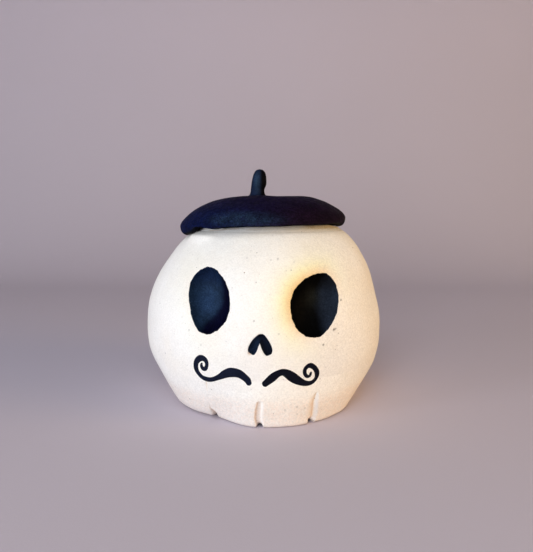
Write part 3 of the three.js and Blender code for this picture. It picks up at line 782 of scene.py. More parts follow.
def loop_piece(name, rings, material):
    """A piece from rings of which the last meets the first"""
    faces = grid_faces(*rings.shape[:2], round_rows=True, round_columns=True).tolist()
    return closed_piece(name, rings.reshape(-1, 3), faces, material)


def capped_piece(name, rings, first_pole, last_pole, material):
    """A piece from rings with a fan of faces to a pole at each end"""
    rows, columns = rings.shape[:2]
    count = rows * columns
    ring = np.arange(columns)
    after, last = np.roll(ring, -1), count - columns
    faces = grid_faces(rows, columns, round_columns=True).tolist()
    faces += np.stack([0 * ring + count, after, ring], -1).tolist()
    faces += np.stack([0 * ring + count + 1, ring + last, after + last], -1).tolist()
    points = np.concatenate([rings.reshape(-1, 3), [first_pole], [last_pole]])
    return closed_piece(name, points, faces, material)


# Materials

STONEWARE_PALE = (0.90, 0.873, 0.83)
STONEWARE_WARM = (0.885, 0.842, 0.775)
# This tan is the real tan specks' colour and also the painted shade in the tooth gaps, the nose's chip and
# the coil's creases
STONEWARE_TAN = (0.66, 0.44, 0.29)
SPECK_GREY = (0.15, 0.13, 0.125)
SPECK_BROWN = (0.24, 0.12, 0.055)
SPECK_DARK = (0.05, 0.04, 0.04)
# Painted warm light and shade beside the right socket's rim: a wide yellow and a close tan
RIM_SHADE_YELLOW = (1.0, 0.985, 0.40)
RIM_SHADE_TAN = (0.95, 0.70, 0.85)
# Painted pink bounce light from the floor on the chin
CHIN_BOUNCE_PINK = (1.0, 0.925, 0.885)
# Painted shadow at the foot of the tooth gaps
GAP_SHADOW = (0.03, 0.02, 0.025)
SEAM_TAN_OCHRE = (0.60, 0.47, 0.27)
# Painted highlight on the tooth gaps' right walls
GAP_HIGHLIGHT = (0.96, 0.93, 0.87)
COAT_DARK = (0.0045, 0.0082, 0.02)
COAT_LIGHT = (0.014, 0.029, 0.064)
PAINT_RIGHT_DARK = (0.0022, 0.0020, 0.0050)
PAINT_DARK = (0.0036, 0.0055, 0.0145)
PAINT_LIGHT = (0.0085, 0.0125, 0.032)
# The beret's painted light: bluer at the left, browner at the right, a purple painted reflection on the top,
# a teal painted sheen and painted shade on the hem and underside
BERET_LEFT = (0.003, 0.006, 0.033)
BERET_RIGHT = (0.0075, 0.003, 0.009)
BERET_TOP = (0.0042, 0.0021, 0.018)
BERET_SHEEN = (0.011, 0.021, 0.045)
BERET_LOW = (0.001, 0.0015, 0.004)
CHIP_PALE = (0.2, 0.2, 0.2)
STAGE_COLOUR = (0.59, 0.54, 0.62)
# Coat colours: plain, the painted highlight, the painted shade on one side and the colour towards the top
BOWL_LOOKS = {
    "left_socket_coat": {
        "plain": (0.012, 0.026, 0.055), "painted_light": (0.023, 0.052, 0.120),
        "dark": (0.0015, 0.0015, 0.011), "high": (0.007, 0.016, 0.045),
    },
    "right_socket_coat": {
        "plain": (0.0140, 0.0190, 0.0300), "painted_light": (0.0105, 0.0108, 0.0085),
        "dark": (0.001, 0.001, 0.001), "high": (0.0075, 0.0085, 0.0115),
    },
    "beret_knob": {
        "plain": (0.007, 0.012, 0.032), "painted_light": (0.020, 0.039, 0.072),
        "dark": (0.001, 0.001, 0.003), "high": (0.007, 0.012, 0.032),
    },
}

# Patches of noise: size, detail and roughness, the range of it that counts and what that range becomes
PATCHES = {
    "clay_mottle": (16.0, 4.0, 0.55, 0.32, 0.7),
    "clay_grain": (0.55, 2.0, 0.6, 0.3, 0.72, 0.93, 1.03),
    "clay_cloud": (3.2, 3.0, 0.6, 0.35, 0.7, 0.975, 1.0),
    # Mottle of the painted pink floor bounce on the chin
    "clay_bounce_pink": (1.1, 3.0, 0.65, 0.35, 0.65, 0.35, 1.0),
    "clay_low_right_mottle": (0.75, 3.0, 0.75, 0.36, 0.66, 0.91, 1.03),
    "clay_seam_tan": (0.7, 3.0, 0.65, 0.38, 0.6, 0.25, 0.85),
    "clay_roughness": (5.0, 3.0, 0.5, 0.3, 0.7, 0.52, 0.68),
    "black_grain": (0.35, 2.0, 0.7, 0.3, 0.75, 0.75, 1.35),
    "black_roughness": (1.8, 3.0, 0.5, 0.3, 0.7, 0.56, 0.74),
    "coat_mottle": (5.5, 4.0, 0.6, 0.3, 0.75),
    "brush_streak": (1.0, 3.0, 0.6, 0.35, 0.72),
    "bowl_cloud": (3.4, 4.0, 0.6, 0.3, 0.72, 0.78, 1.2),
    "bowl_grain": (0.8, 3.0, 0.7, 0.35, 0.72, 0.88, 1.22),
    # Mottle of the beret's painted teal sheen
    "beret_sheen": (2.6, 4.0, 0.65, 0.3, 0.62, 0.35, 1.0),
    "beret_cloud": (5.0, 4.0, 0.6, 0.3, 0.75, 0.75, 1.3),
    "beret_grain": (0.75, 3.0, 0.75, 0.36, 0.66, 0.5, 1.5),
    "paper_tone": (220.0, 2.0, 0.5, 0.3, 0.7, 0.985, 1.0),
}
STREAK_STRETCH = (0.16, 3.6, 1.0)

# Specks: spacing, radius, the share of places that have one, strength and colour
CLAY_SPECKS = (
    (0.9, 0.17, 0.5, 0.2, STONEWARE_TAN), (1.6, 0.22, 0.5, 0.24, SPECK_GREY),
    (2.9, 0.27, 0.5, 0.5, SPECK_GREY), (6.8, 0.4, 0.45, 0.75, SPECK_BROWN),
)
BERET_SPECKS = ((9.0, 0.16, 0.35, 0.5, CHIP_PALE), (2.2, 0.1, 0.3, 0.08, CHIP_PALE))
SPECK_SIZES = (0.5, 1.3)
SPECK_SOFTNESS = 0.35

# Bumps: the noise's size, detail and roughness, and the depth; the clay's pits have a speck's first values
CLAY_BUMPS = ((2.6, 3.0, 0.5, 0.16), (0.42, 2.0, 0.6, 0.045))
CLAY_PITS = (1.3, 0.13, 0.3)
CLAY_PIT_DEPTH = 0.07
BLACK_BUMPS = ((1.5, 3.0, 0.6, 0.11), (0.3, 2.0, 0.6, 0.04))
PAPER_BUMPS = ((0.8, 2.0, 0.5, 0.03),)

# Shine, strengths, and the places between which a colour comes in
CLAY_SHINE = 0.35
PAINT_SHINE = 0.06
BLACK_SHINE = 0.03
PAPER_SHINE = 0.2
PAPER_ROUGHNESS = 0.8
# Strength and colour of each kept share: painted shade in the gaps, chip and creases, painted highlight on
# the gaps' right walls, real dark specks and painted shadow at the gaps' foot
CLAY_SHADES = {"groove": (0.4, STONEWARE_TAN), "gap_highlight": (0.6, GAP_HIGHLIGHT), "speck": (0.9, SPECK_DARK),
               "gap_shadow": (0.85, GAP_SHADOW)}
# Heights between which the painted pink floor bounce comes in on the chin
BOUNCE_PINK_HEIGHTS = (13.5, 8.5)
LOW_MOTTLE_HEIGHTS = (21.0, 9.0)
RIGHT_MOTTLE_SIDE = (8.0, 24.0)
PAINT_RIGHT_DARK_SIDE = (-2.2, -0.6, 0.0, 0.72)
# Where the beret's painted light changes from left to right and towards the purple painted reflection on its
# top
BERET_SIDES = (-26.0, 20.0)
BERET_TOP_HEIGHTS = (76.0, 84.0, 0.0, 0.7)
# Place, reach and edge of the beret's painted teal sheen
BERET_SHEEN_PLACE = (-9.0, -33.0, 75.2)
BERET_SHEEN_REACH = (17.0, 14.0, 3.3)
BERET_SHEEN_EDGE = (0.3, 1.25, 1.0, 0.0)


class Shader:
    """A material's node tree, with places measured in millimetres"""

    def __init__(self, name):
        self.material = bpy.data.materials.new(name)
        self.material.use_nodes = True
        self.tree = self.material.node_tree
        self.surface = self.tree.nodes["Principled BSDF"]
        place = self.node("ShaderNodeTexCoord")
        scale = self.node("ShaderNodeMapping", Vector=place.outputs["Object"], Scale=(1 / MM,) * 3)
        self.place = scale.outputs["Vector"]
        self.uv = place.outputs["UV"]

    def put(self, socket, value):
        if isinstance(value, bpy.types.NodeSocket):
            self.tree.links.new(value, socket)
        elif isinstance(value, tuple) and socket.type == "RGBA":
            socket.default_value = (*value, 1.0)
        else:
            socket.default_value = value

    def node(self, kind, settings=None, values=(), **inputs):
        """A node with its settings, and its inputs by number or by name"""
        node = self.tree.nodes.new(kind)
        for key, value in (settings or {}).items():
            setattr(node, key, value)
        for key, value in (*values, *inputs.items()):
            self.put(node.inputs[key], value)
        return node

    def noise(self, size, detail, rough, vector=None):
        node = self.node("ShaderNodeTexNoise", Scale=1 / size, Detail=detail, Roughness=rough)
        self.put(node.inputs["Vector"], self.place if vector is None else vector)
        return node.outputs["Fac"]

    def spread(self, value, low, high, to_low=0.0, to_high=1.0, kind="SMOOTHSTEP"):
        names = ("Value", "From Min", "From Max", "To Min", "To Max")
        node = self.node("ShaderNodeMapRange", {"interpolation_type": kind},
                         zip(names, (value, low, high, to_low, to_high)))
        return node.outputs["Result"]

    def patches(self, name, vector=None):
        return self.spread(self.noise(*PATCHES[name][:3], vector), *PATCHES[name][3:])

    def sum(self, operation, a, b):
        return self.node("ShaderNodeMath", {"operation": operation}, ((0, a), (1, b))).outputs[0]

    def mix(self, share, a, b, blend="MIX"):
        settings = {"data_type": "RGBA", "blend_type": blend}
        return self.node("ShaderNodeMix", settings, ((0, share), (6, a), (7, b))).outputs[2]

    def tint(self, colour, share, strength, tinted):
        return self.mix(self.sum("MULTIPLY", share, strength), colour, tinted)

    def dots(self, spacing, radius, kept):
        """Sparse round specks: cells of a spacing, some kept, each with a speck of a radius"""
        cells = self.node("ShaderNodeTexVoronoi", Scale=1 / spacing, Randomness=1.0, Vector=self.place)
        split = self.node("ShaderNodeSeparateColor", Color=cells.outputs["Color"])
        least, most = (share * radius / spacing for share in SPECK_SIZES)
        size = self.spread(split.outputs[1], 0.0, 1.0, least, most, "LINEAR")
        near = self.sum("SUBTRACT", size, cells.outputs["Distance"])
        mask = self.spread(self.sum("DIVIDE", near, self.sum("MULTIPLY", size, SPECK_SOFTNESS)), 0.0, 1.0)
        return self.sum("MULTIPLY", mask, self.sum("LESS_THAN", split.outputs[0], kept))

    def specked(self, colour, specks):
        for spacing, radius, kept, strength, speck_colour in specks:
            colour = self.tint(colour, self.dots(spacing, radius, kept), strength, speck_colour)
        return colour

    def share(self, name):
        """A share kept on the piece's points"""
        return self.node("ShaderNodeAttribute", {"attribute_name": name}).outputs["Fac"]

    def shaded(self, colour, name):
        return self.tint(colour, self.share(name), *CLAY_SHADES[name])

    def vector(self, operation, a, b):
        return self.node("ShaderNodeVectorMath", {"operation": operation}, ((0, a), (1, b))).outputs

    def scaled(self, colour, tone):
        return self.node("ShaderNodeVectorMath", {"operation": "SCALE"}, Vector=colour, Scale=tone).outputs[0]

    def along(self):
        """The place's x, y and z"""
        return self.node("ShaderNodeSeparateXYZ", Vector=self.place).outputs

    def surfaced(self, colour, roughness, shine, bumps):
        """The finished material, with bumps given as heights and depths, one upon another"""
        names = ("Base Color", "Roughness", "Specular IOR Level")
        for name, value in zip(names, (colour, roughness, shine)):
            self.put(self.surface.inputs[name], value)
        below = {}
        for height, depth in bumps:
            node = self.node("ShaderNodeBump", Strength=1.0, Distance=depth * MM, Height=height, **below)
            below = {"Normal": node.outputs["Normal"]}
        self.put(self.surface.inputs["Normal"], below["Normal"])
        return self.material

    def uneven(self, bumps):
        return [(self.noise(size, detail, rough), depth) for size, detail, rough, depth in bumps]


def stoneware(name):
    """Off-white clay with specks, painted yellow and tan shade by the right socket, a painted pink floor
    bounce at the chin, and a darker mottle low and at the right
    """
    shader = Shader(name)
    x, _, height = shader.along()
    colour = shader.mix(shader.patches("clay_mottle"), STONEWARE_PALE, STONEWARE_WARM)
    tone = shader.sum("MULTIPLY", shader.patches("clay_grain"), shader.patches("clay_cloud"))
    # Painted shade in the tooth gaps, the nose's chip and the coil's creases
    colour = shader.shaded(shader.scaled(colour, tone), "groove")
    # Painted pink bounce light from the floor on the downward-facing chin, mottled
    bounce_pink = shader.sum("MULTIPLY", shader.spread(height, *BOUNCE_PINK_HEIGHTS), shader.patches("clay_bounce_pink"))
    # Painted light: yellow and tan shade beside the right socket's rim, and the floor's pink bounce on the
    # chin
    toning = ((shader.share("rim_shade"), RIM_SHADE_YELLOW), (shader.share("tan"), RIM_SHADE_TAN), (bounce_pink, CHIN_BOUNCE_PINK))
    for share, toned in toning:
        colour = shader.mix(share, colour, toned, "MULTIPLY")
    low_right_mottle = shader.sum("MAXIMUM", shader.spread(height, *LOW_MOTTLE_HEIGHTS), shader.spread(x, *RIGHT_MOTTLE_SIDE))
    colour = shader.mix(low_right_mottle, colour, shader.scaled(colour, shader.patches("clay_low_right_mottle")))
    # Painted highlight on the tooth gaps' right walls
    colour = shader.shaded(colour, "gap_highlight")
    colour = shader.tint(colour, shader.share("seam_tan"), shader.patches("clay_seam_tan"), SEAM_TAN_OCHRE)
    colour = shader.specked(colour, CLAY_SPECKS)
    # Real dark specks, then the painted shadow at the foot of the tooth gaps
    for shade in ("speck", "gap_shadow"):
        colour = shader.shaded(colour, shade)
    pits = shader.sum("MULTIPLY", shader.dots(*CLAY_PITS), -1.0)
    bumps = shader.uneven(CLAY_BUMPS) + [(pits, CLAY_PIT_DEPTH)]
    return shader.surfaced(colour, shader.patches("clay_roughness"), CLAY_SHINE, bumps)


def matte_black(shader, colour, shine):
    """A matte coat's fine grain, roughness and unevenness over its colour"""
    colour = shader.scaled(colour, shader.patches("black_grain"))
    return shader.surfaced(colour, shader.patches("black_roughness"), shine, shader.uneven(BLACK_BUMPS))


def black_coat(name, dark, light, streaks=False):
    """A thin black coat, mottled and darker and less blue right of the face's middle, with a brush's streaks
    where asked
    """
    shader = Shader(name)
    mottle = shader.patches("coat_mottle")
    if streaks:
        stretched = shader.node("ShaderNodeMapping", Vector=shader.uv, Scale=STREAK_STRETCH).outputs["Vector"]
        mottle = shader.sum("ADD", mottle, shader.patches("brush_streak", stretched))
        mottle = shader.sum("MULTIPLY", mottle, 0.5)
    right_dark = shader.spread(shader.along()[0], *PAINT_RIGHT_DARK_SIDE)
    return matte_black(shader, shader.mix(right_dark, shader.mix(mottle, dark, light), PAINT_RIGHT_DARK), PAINT_SHINE)


def bowl_look(name, looks):
    """A bowl's or the stem's coat, with a painted highlight in one place and painted shade on one side"""
    shader = Shader(name + "_look")
    colour = looks["plain"]
    # Painted highlight and painted shade over the plain coat
    for shade in ("high", "dark", "painted_light"):
        colour = shader.mix(shader.share(shade), colour, looks[shade])
    for patches in ("bowl_cloud", "bowl_grain"):
        colour = shader.scaled(colour, shader.patches(patches))
    return matte_black(shader, colour, BLACK_SHINE)


def beret_look(name):
    """Black clay with painted light: bluer at the left, browner at the right, a purple painted reflection on
    the top, a painted teal sheen low at the front left and painted shade on the hem
    """
    shader = Shader(name)
    x, _, height = shader.along()
    # Painted light: bluer at the left, browner at the right, and a purple painted reflection on the top
    colour = shader.mix(shader.spread(x, *BERET_SIDES), BERET_LEFT, BERET_RIGHT)
    colour = shader.mix(shader.spread(height, *BERET_TOP_HEIGHTS), colour, BERET_TOP)
    # A painted teal sheen low at the front left
    reaches = shader.vector("MULTIPLY", shader.place, tuple(1 / reach for reach in BERET_SHEEN_REACH))[0]
    middle = tuple(place / reach for place, reach in zip(BERET_SHEEN_PLACE, BERET_SHEEN_REACH))
    near = shader.spread(shader.vector("DISTANCE", reaches, middle)["Value"], *BERET_SHEEN_EDGE)
    colour = shader.tint(colour, near, shader.patches("beret_sheen"), BERET_SHEEN)
    for patches in ("beret_cloud", "beret_grain"):
        colour = shader.scaled(colour, shader.patches(patches))
    # Painted shade on the hanging hem and the underside
    colour = shader.mix(shader.share("hem"), colour, BERET_LOW)
    return matte_black(shader, shader.specked(colour, BERET_SPECKS), BLACK_SHINE)


def paper_look(name):
    shader = Shader(name)
    colour = shader.scaled(STAGE_COLOUR, shader.patches("paper_tone"))
    return shader.surfaced(colour, PAPER_ROUGHNESS, PAPER_SHINE, shader.uneven(PAPER_BUMPS))


stoneware_material = stoneware("white_stoneware_look")
bowl_materials = {name: bowl_look(name, looks) for name, looks in BOWL_LOOKS.items()}
nose_material = black_coat("black_slip_look", COAT_DARK, COAT_LIGHT)
paint_material = black_coat("black_brush_look", PAINT_DARK, PAINT_LIGHT, streaks=True)
beret_material = beret_look("black_clay_look")


# The skull's body: one closed skin from the foot's middle, up the outside and down the inside

FINE_TURN = 0.34
SIDE_TURN = 0.75
BACK_TURN = 1.9
SIDE_TURNS = (38, 48)
BACK_TURNS = (60, 85)
LOW_STEP = 0.3
FACE_STEP = 0.36
FACE_HEIGHTS = (18, 62)
FACE_FACING = 0.4


def body_turns():
    """Columns round the body, close together on the face"""
    degrees = np.linspace(-180, 180, TURN_SAMPLES)
    step = FINE_TURN + (SIDE_TURN - FINE_TURN) * smooth_step(*SIDE_TURNS, np.abs(degrees)) \
        + (BACK_TURN - SIDE_TURN) * smooth_step(*BACK_TURNS, np.abs(degrees))
    total = np.concatenate([[0], np.cumsum(0.5 * (1 / step[1:] + 1 / step[:-1]) * np.diff(degrees))])
    count = int(round(total[-1]))
    return np.radians(np.interp(np.arange(count) * total[-1] / count, total, degrees))


def body_heights():
    start, end = FACE_HEIGHTS
    arc = FOOT_ROUNDING * (1 - np.cos(np.linspace(0, math.pi / 2, FOOT_ARC_ROWS)[:-1]))
    low = np.arange(FOOT_ROUNDING, start, LOW_STEP)
    crown = np.linspace(end, SKIN_TOP, CROWN_ROWS)
    return np.concatenate([arc, low, np.arange(start, end, FACE_STEP), crown])


def carved(points, turn, height):
    """Points of the skin moved in by the sockets, the nose and the tooth gaps, and their shades"""
    moved = points.copy()
    x, inward = points[..., 0], inward_at(turn)
    front = np.cos(turn) > FACE_FACING
    depth, shades = tooth_gaps(turn, height)
    moved += depth[..., None] * inward
    shades |= {name: np.zeros(turn.shape) for name in ("rim_shade", "tan", "speck")}
    for socket in sockets:
        across, up, out = socket.local(points)
        near = front & (np.hypot(across, up) < SOCKET_SPAN) & (out > SOCKET_BACK)
        share, angle = socket.shares(across[near], up[near])
        depth = socket.depth(share, angle) + COAT_GAP * smooth_step(*COAT_RIM_SHARES, share)
        moved[near] -= np.where(share < SOCKET_END_SHARE, depth, 0)[:, None] * socket.normal
        # Painted yellow and tan shade on the body beside the rim
        for name, values in socket.rim_shade(share, angle).items():
            shades[name][near] = np.maximum(shades[name][near], values)

    aside, above = np.abs(x - NOSE_MIDDLE[0]), np.abs(height - NOSE_MIDDLE[1])
    near = front & (aside < NOSE_SPAN + NOSE_MARGIN) & (above < NOSE_RISE)
    depth = (NOSE_DEPTH + COAT_GAP) * nose_wall(inside_nose(x[near], height[near]), NOSE_INSETS["clay"])
    # The chip is bare clay; its tan tint is painted shade in the shallow recess
    chip = np.hypot(x[near] - CHIP_PLACE[0], height[near] - CHIP_PLACE[1]) / CHIP_RADIUS
    chip = 1 - smooth_step(*CHIP_EDGE_SHARES, chip)
    moved[near] += np.maximum(depth, CHIP_DEPTH * chip)[:, None] * inward[near]
    shades["groove"][near] = np.maximum(shades["groove"][near], chip * CHIP_SHADE)

    for speck_x, speck_height, radius, strength in SPECKS:
        near = np.hypot(x - speck_x, height - speck_height) / radius
        speck = strength * smooth_step(*SPECK_EDGE_SHARES, near) * front
        shades["speck"] = np.maximum(shades["speck"], speck)
    return moved, {**shades, "seam_tan": seam_tan_band(turn, height)}


def foot_rings(turn):
    """The flat foot, from near its middle out"""
    edge = place_at(turn, 0.0, form_radius(turn, 0.0))
    reach = np.hypot(edge[:, 0], edge[:, 1])
    return [edge * (1 - inset / reach)[:, None] for inset in FOOT_INSETS]


def top_rings(turn):
    """The top's corner and its flat, then the mouth's rounded edge"""
    rings = []
    for radius in np.linspace(float(ball_radius(SKIN_TOP)), MOUTH_RADIUS + MOUTH_ROUNDING, TOP_ROWS)[1:]:
        rise = WIDEST_HEIGHT + CROWN_REACH * math.sqrt(1 - (radius / BODY_RADIUS) ** 2)
        rings.append(place_at(turn, smooth_least(rise, TOP_HEIGHT, TOP_SOFTNESS), crown_radius(turn, radius)))
    for angle in np.radians(MOUTH_EDGE_ANGLES):
        radius = MOUTH_RADIUS + MOUTH_ROUNDING * (1 - math.sin(angle))
        rings.append(place_at(turn, TOP_HEIGHT - MOUTH_ROUNDING * (1 - math.cos(angle)), radius))
    return rings


def hollow_rings(turn):
    """The neck and the hollow, which follow the outside and bulge behind the sockets"""
    inner_radius = BODY_RADIUS - WALL
    neck_turn = math.acos(MOUTH_RADIUS / inner_radius)
    floor_turn = math.asin((FLOOR_THICKNESS - WIDEST_HEIGHT) / (BASE_REACH - WALL))
    rings = []
    for angle in np.linspace(neck_turn, floor_turn, INNER_ROWS):
        level = WIDEST_HEIGHT + math.sin(angle) * ((CROWN_REACH if angle > 0 else BASE_REACH) - WALL)
        radius = inner_radius * math.cos(angle) * form_radius(turn, level) / ball_radius(level)
        ring = place_at(turn, level, radius)
        ring[:, :2] *= (1 + INNER_UNEVEN_SHARE * inner_waves.at(ring))[:, None]
        for socket in sockets:
            ring = socket.backed(ring)
        rings.append(ring)
    return rings


def floor_rings(base):
    """The floor, in from the hollow's last ring"""
    centre = np.array([0.0, 0.0, FLOOR_THICKNESS])
    rings = [centre + (base - centre) * share for share in FLOOR_SHARES]
    for ring, share in zip(rings, FLOOR_SHARES):
        ring[:, 2] = FLOOR_THICKNESS - FLOOR_DIP * (1 - share) + FLOOR_UNEVEN * inner_waves.at(ring)
    return rings


def skull_body():
    turns = body_turns()
    turn, height = np.meshgrid(turns, body_heights())
    outside, shades = carved(place_at(turn, height, skin_radius(turn, height)), turn, height)
    foot, hollow = foot_rings(turns), hollow_rings(turns)
    rings = np.concatenate([foot, outside, top_rings(turns), hollow, floor_rings(hollow[-1])])
    floor_middle = (0.0, 0.0, FLOOR_THICKNESS - FLOOR_DIP)
    piece = capped_piece("skull_shell", rings, (0.0, 0.0, 0.0), floor_middle, stoneware_material)
    shade_piece(piece, shades, skipped=len(foot) * len(turns))
    return piece


def socket_coat(socket):
    """A closed thin coat over the bowl and just over its rim"""
    turn, out = np.meshgrid(np.linspace(0, TURN, COAT_COLUMNS, endpoint=False), COAT_SHARES)
    depth = socket.depth(out, turn) - COAT_LIFT
    top = socket.on_skin(*socket.place(out, turn)) - depth[..., None] * socket.normal
    extra = (COAT_THICKNESS - COAT_EDGE_THICKNESS) * smooth_step(*COAT_RIM_SHARES, out)
    under = top - (COAT_EDGE_THICKNESS + extra)[..., None] * socket.normal
    middle = socket.on_skin(np.zeros(1), np.zeros(1))[0] - (SOCKET_DEPTH - COAT_LIFT) * socket.normal
    behind = middle - COAT_THICKNESS * socket.normal
    name = socket.values["name"]
    piece = capped_piece(name, np.concatenate([top, under[::-1]]), middle, behind, bowl_materials[name])
    # The coat's painted highlight, painted shade and colour towards the top
    shade_piece(piece, {shade: np.concatenate([values.ravel(), values[::-1].ravel(), [values[0].mean()] * 2])
                        for shade, values in socket.coat_shades(top).items()})
    return piece


def nose_coat():
    """A closed thin coat over both legs of the nose"""
    steps, sides = NOSE_GRID
    edges = nose_edges(steps)
    share = (0.5 - 0.5 * np.cos(np.linspace(0, math.pi, sides)))[None, :, None]
    x, height = np.moveaxis(edges[:, :1] * (1 - share) + edges[:, 1:] * share, -1, 0)
    depth = NOSE_DEPTH * nose_wall(np.maximum(inside_nose(x, height), 0), NOSE_INSETS["coat"])
    points, turn = skin_point(x, height)
    top = points + (depth - COAT_LIFT)[..., None] * inward_at(turn)
    under = points + (depth + NOSE_COAT_UNDER)[..., None] * inward_at(turn)
    count = steps * sides
    quads = grid_faces(steps, sides)
    index = np.arange(count).reshape(steps, sides)
    loop = np.concatenate([index[0, :-1], index[:-1, -1], index[-1, :0:-1], index[:0:-1, 0]])
    after = np.roll(loop, -1)
    walls = np.stack([after, loop, loop + count, after + count], -1)
    faces = np.concatenate([quads, quads[:, ::-1] + count, walls]).tolist()
    return closed_piece("nose_coat", np.concatenate([top, under]).reshape(-1, 3), faces, nose_material)


def rounded_ends(line, way, half):
    """A stroke's line, its direction and its half width, with a round cap at each end"""
    turns = math.pi / 2 * np.arange(1, PAINT_CAP_PLACES + 1) / (PAINT_CAP_PLACES + PAINT_TIP_PLACES)
    ends = []
    for end, sense in ((0, -1), (-1, 1)):
        forward = sense * PAINT_CAP_SHARE * half[end] * np.sin(turns)[:, None]
        ways = np.tile(way[end], (PAINT_CAP_PLACES, 1))
        ends.append((line[end] + forward * way[end], ways, half[end] * np.cos(turns)))
    first, last = ends
    return [np.concatenate([a[::-1], b, c]) for a, b, c in zip(first, (line, way, half), last)]


def moustache_paint(values):
    """A closed brush stroke, thin and slightly domed, with its length and width kept for the streaks"""
    steps, sides = STROKE_GRID
    shares = spline(values["stroke_shares"], steps)
    x = FACE_SHIFT + values["side"] * (MOUSTACHE_GAP / 2 + values["reach"] * shares[:, 0])
    height = WIDEST_HEIGHT * values["base_share"] + values["rise"] * shares[:, 1]
    half = values["width"] * shares[:, 2] / 2 + PAINT_SPREAD
    half = half * (1 + PAINT_UNEVEN_SHARE * edge_waves.at(np.column_stack([x, 0 * x, height])))
    line = np.column_stack([x, height])
    way = np.gradient(line, axis=0)
    way /= np.linalg.norm(way, axis=1)[:, None]
    line, way, half = rounded_ends(line, way, half)

    side = np.linspace(-1, 1, sides)[None, :]
    width = half[:, None] * side
    points, _ = skin_point(line[:, :1] - way[:, 1:] * width, line[:, 1:] + way[:, :1] * width)
    outward = ball_normal(points)
    thin = np.clip(half[:, None] / PAINT_THIN_HALF, PAINT_THIN_SHARE, 1)
    dome = PAINT_LIFT * (1 - side ** PAINT_DOME_POWER) * thin
    under = (points - PAINT_SINK * outward)[:, ::-1]
    rings = np.concatenate([points + dome[..., None] * outward, under], 1)
    piece = capped_piece(values["name"], rings, rings[0].mean(0), rings[-1].mean(0), paint_material)

    length = np.concatenate([[0], np.cumsum(np.linalg.norm(np.diff(line, axis=0), axis=1))])
    across = np.concatenate([width, width[:, ::-1]], 1)
    u = np.concatenate([np.repeat(length, across.shape[1]), length[[0, -1]]])
    v = np.concatenate([across.ravel(), [0, 0]])
    corners = np.zeros(len(piece.data.loops), np.int32)
    piece.data.loops.foreach_get("vertex_index", corners)
    layer = piece.data.uv_layers.new(name="along_across")
    layer.data.foreach_set("uv", np.column_stack([u[corners], v[corners]]).astype(np.float32).ravel())
    return piece


def lid_flange():
    """The ring under the lid, centred on the mouth"""
    low, high = SEAT_HEIGHT - FLANGE_DEPTH, SEAT_HEIGHT - FLANGE_TOP_GAP
    corners = (
        (FLANGE_RADIUS - FLANGE_LOW_ROUND, low + FLANGE_LOW_ROUND, FLANGE_LOW_ROUND),
        (FLANGE_RADIUS - FLANGE_HIGH_ROUND, high - FLANGE_HIGH_ROUND, FLANGE_HIGH_ROUND),
        (FLANGE_BORE + FLANGE_HIGH_ROUND, high - FLANGE_HIGH_ROUND, FLANGE_HIGH_ROUND),
        (FLANGE_BORE + FLANGE_LOW_ROUND, low + FLANGE_LOW_ROUND, FLANGE_LOW_ROUND),
    )
    profile = []
    for quarter, (x, z, size) in enumerate(corners):
        angle = np.radians(np.linspace(-90, 0, FLANGE_CORNER_ROWS) + 90 * quarter)
        profile.append(np.column_stack([x + size * np.cos(angle), z + size * np.sin(angle)]))
    radius, level = np.concatenate(profile).T[..., None]
    turn = np.linspace(0, TURN, FLANGE_COLUMNS, endpoint=False)
    wobble = FLANGE_UNEVEN * edge_waves.held(around(radius, turn, level) * FLANGE_WAVE_STRETCH)
    outside = radius > (FLANGE_BORE + FLANGE_RADIUS) / 2
    radius = radius + wobble * np.where(outside, 1, FLANGE_BORE_SHARE)
    return loop_piece("lid_flange", around(radius, turn, level, MOUTH_SHIFT), stoneware_material)


def crease_shade(turn, levels):
    """Painted shade lines along hairline creases in the coil beneath the lid"""
    crease = 0 * levels
    for line in CREASES:
        (first, low), (last, high) = line["from"], line["to"]
        along = (np.degrees(turn) - first) / (last - first)
        near = hill((levels - low - (high - low) * along) / CREASE_WIDTH)
        ends = smooth_step(0, CREASE_END_SHARE, along) * smooth_step(1, 1 - CREASE_END_SHARE, along)
        crease = np.maximum(crease, line["share"] * near * ends)
    return crease


def mouth_coil():
    """The coil round the mouth: its outside carries the body's slope on up to the lid"""
    turn = np.linspace(-math.pi, math.pi, COIL_COLUMNS, endpoint=False)
    base = crown_radius(turn, COIL_BASE)
    top = TOP_HEIGHT + RIM_HEIGHT + by_turn(COIL_RIDGE, turn)
    tip = base - (top - TOP_HEIGHT) / COIL_SLOPE
    rows = []
    for share in COIL_SLOPE_SHARES:
        level = TOP_HEIGHT + (top - TOP_HEIGHT) * share
        wobble = COIL_UNEVEN * edge_waves.held(around(base, math.pi - turn, level))
        rows.append((base + (tip - base) * share + wobble * (COIL_UNEVEN_START + share), level))
    rows += [(tip - inset, top - drop) for inset, drop in COIL_LIP]
    rows += [(tip - inset, np.maximum(COIL_FLAT, top - drop)) for inset, drop in COIL_LIP_BACK]
    rows += [(radius, COIL_FLAT - drop) for radius, drop in COIL_BORE]
    rows += [(radius, COIL_UNDER) for radius in COIL_UNDERSIDE]
    rings = np.stack([around(radius, turn, level, MOUTH_SHIFT) for radius, level in rows])
    piece = loop_piece("mouth_coil", rings, stoneware_material)
    levels = rings[..., 2]
    # Painted shade along the creases, and the tan band under the lid
    shade_piece(piece, {"groove": crease_shade(turn, levels), "seam_tan": seam_tan_band(turn, levels)})
    return piece


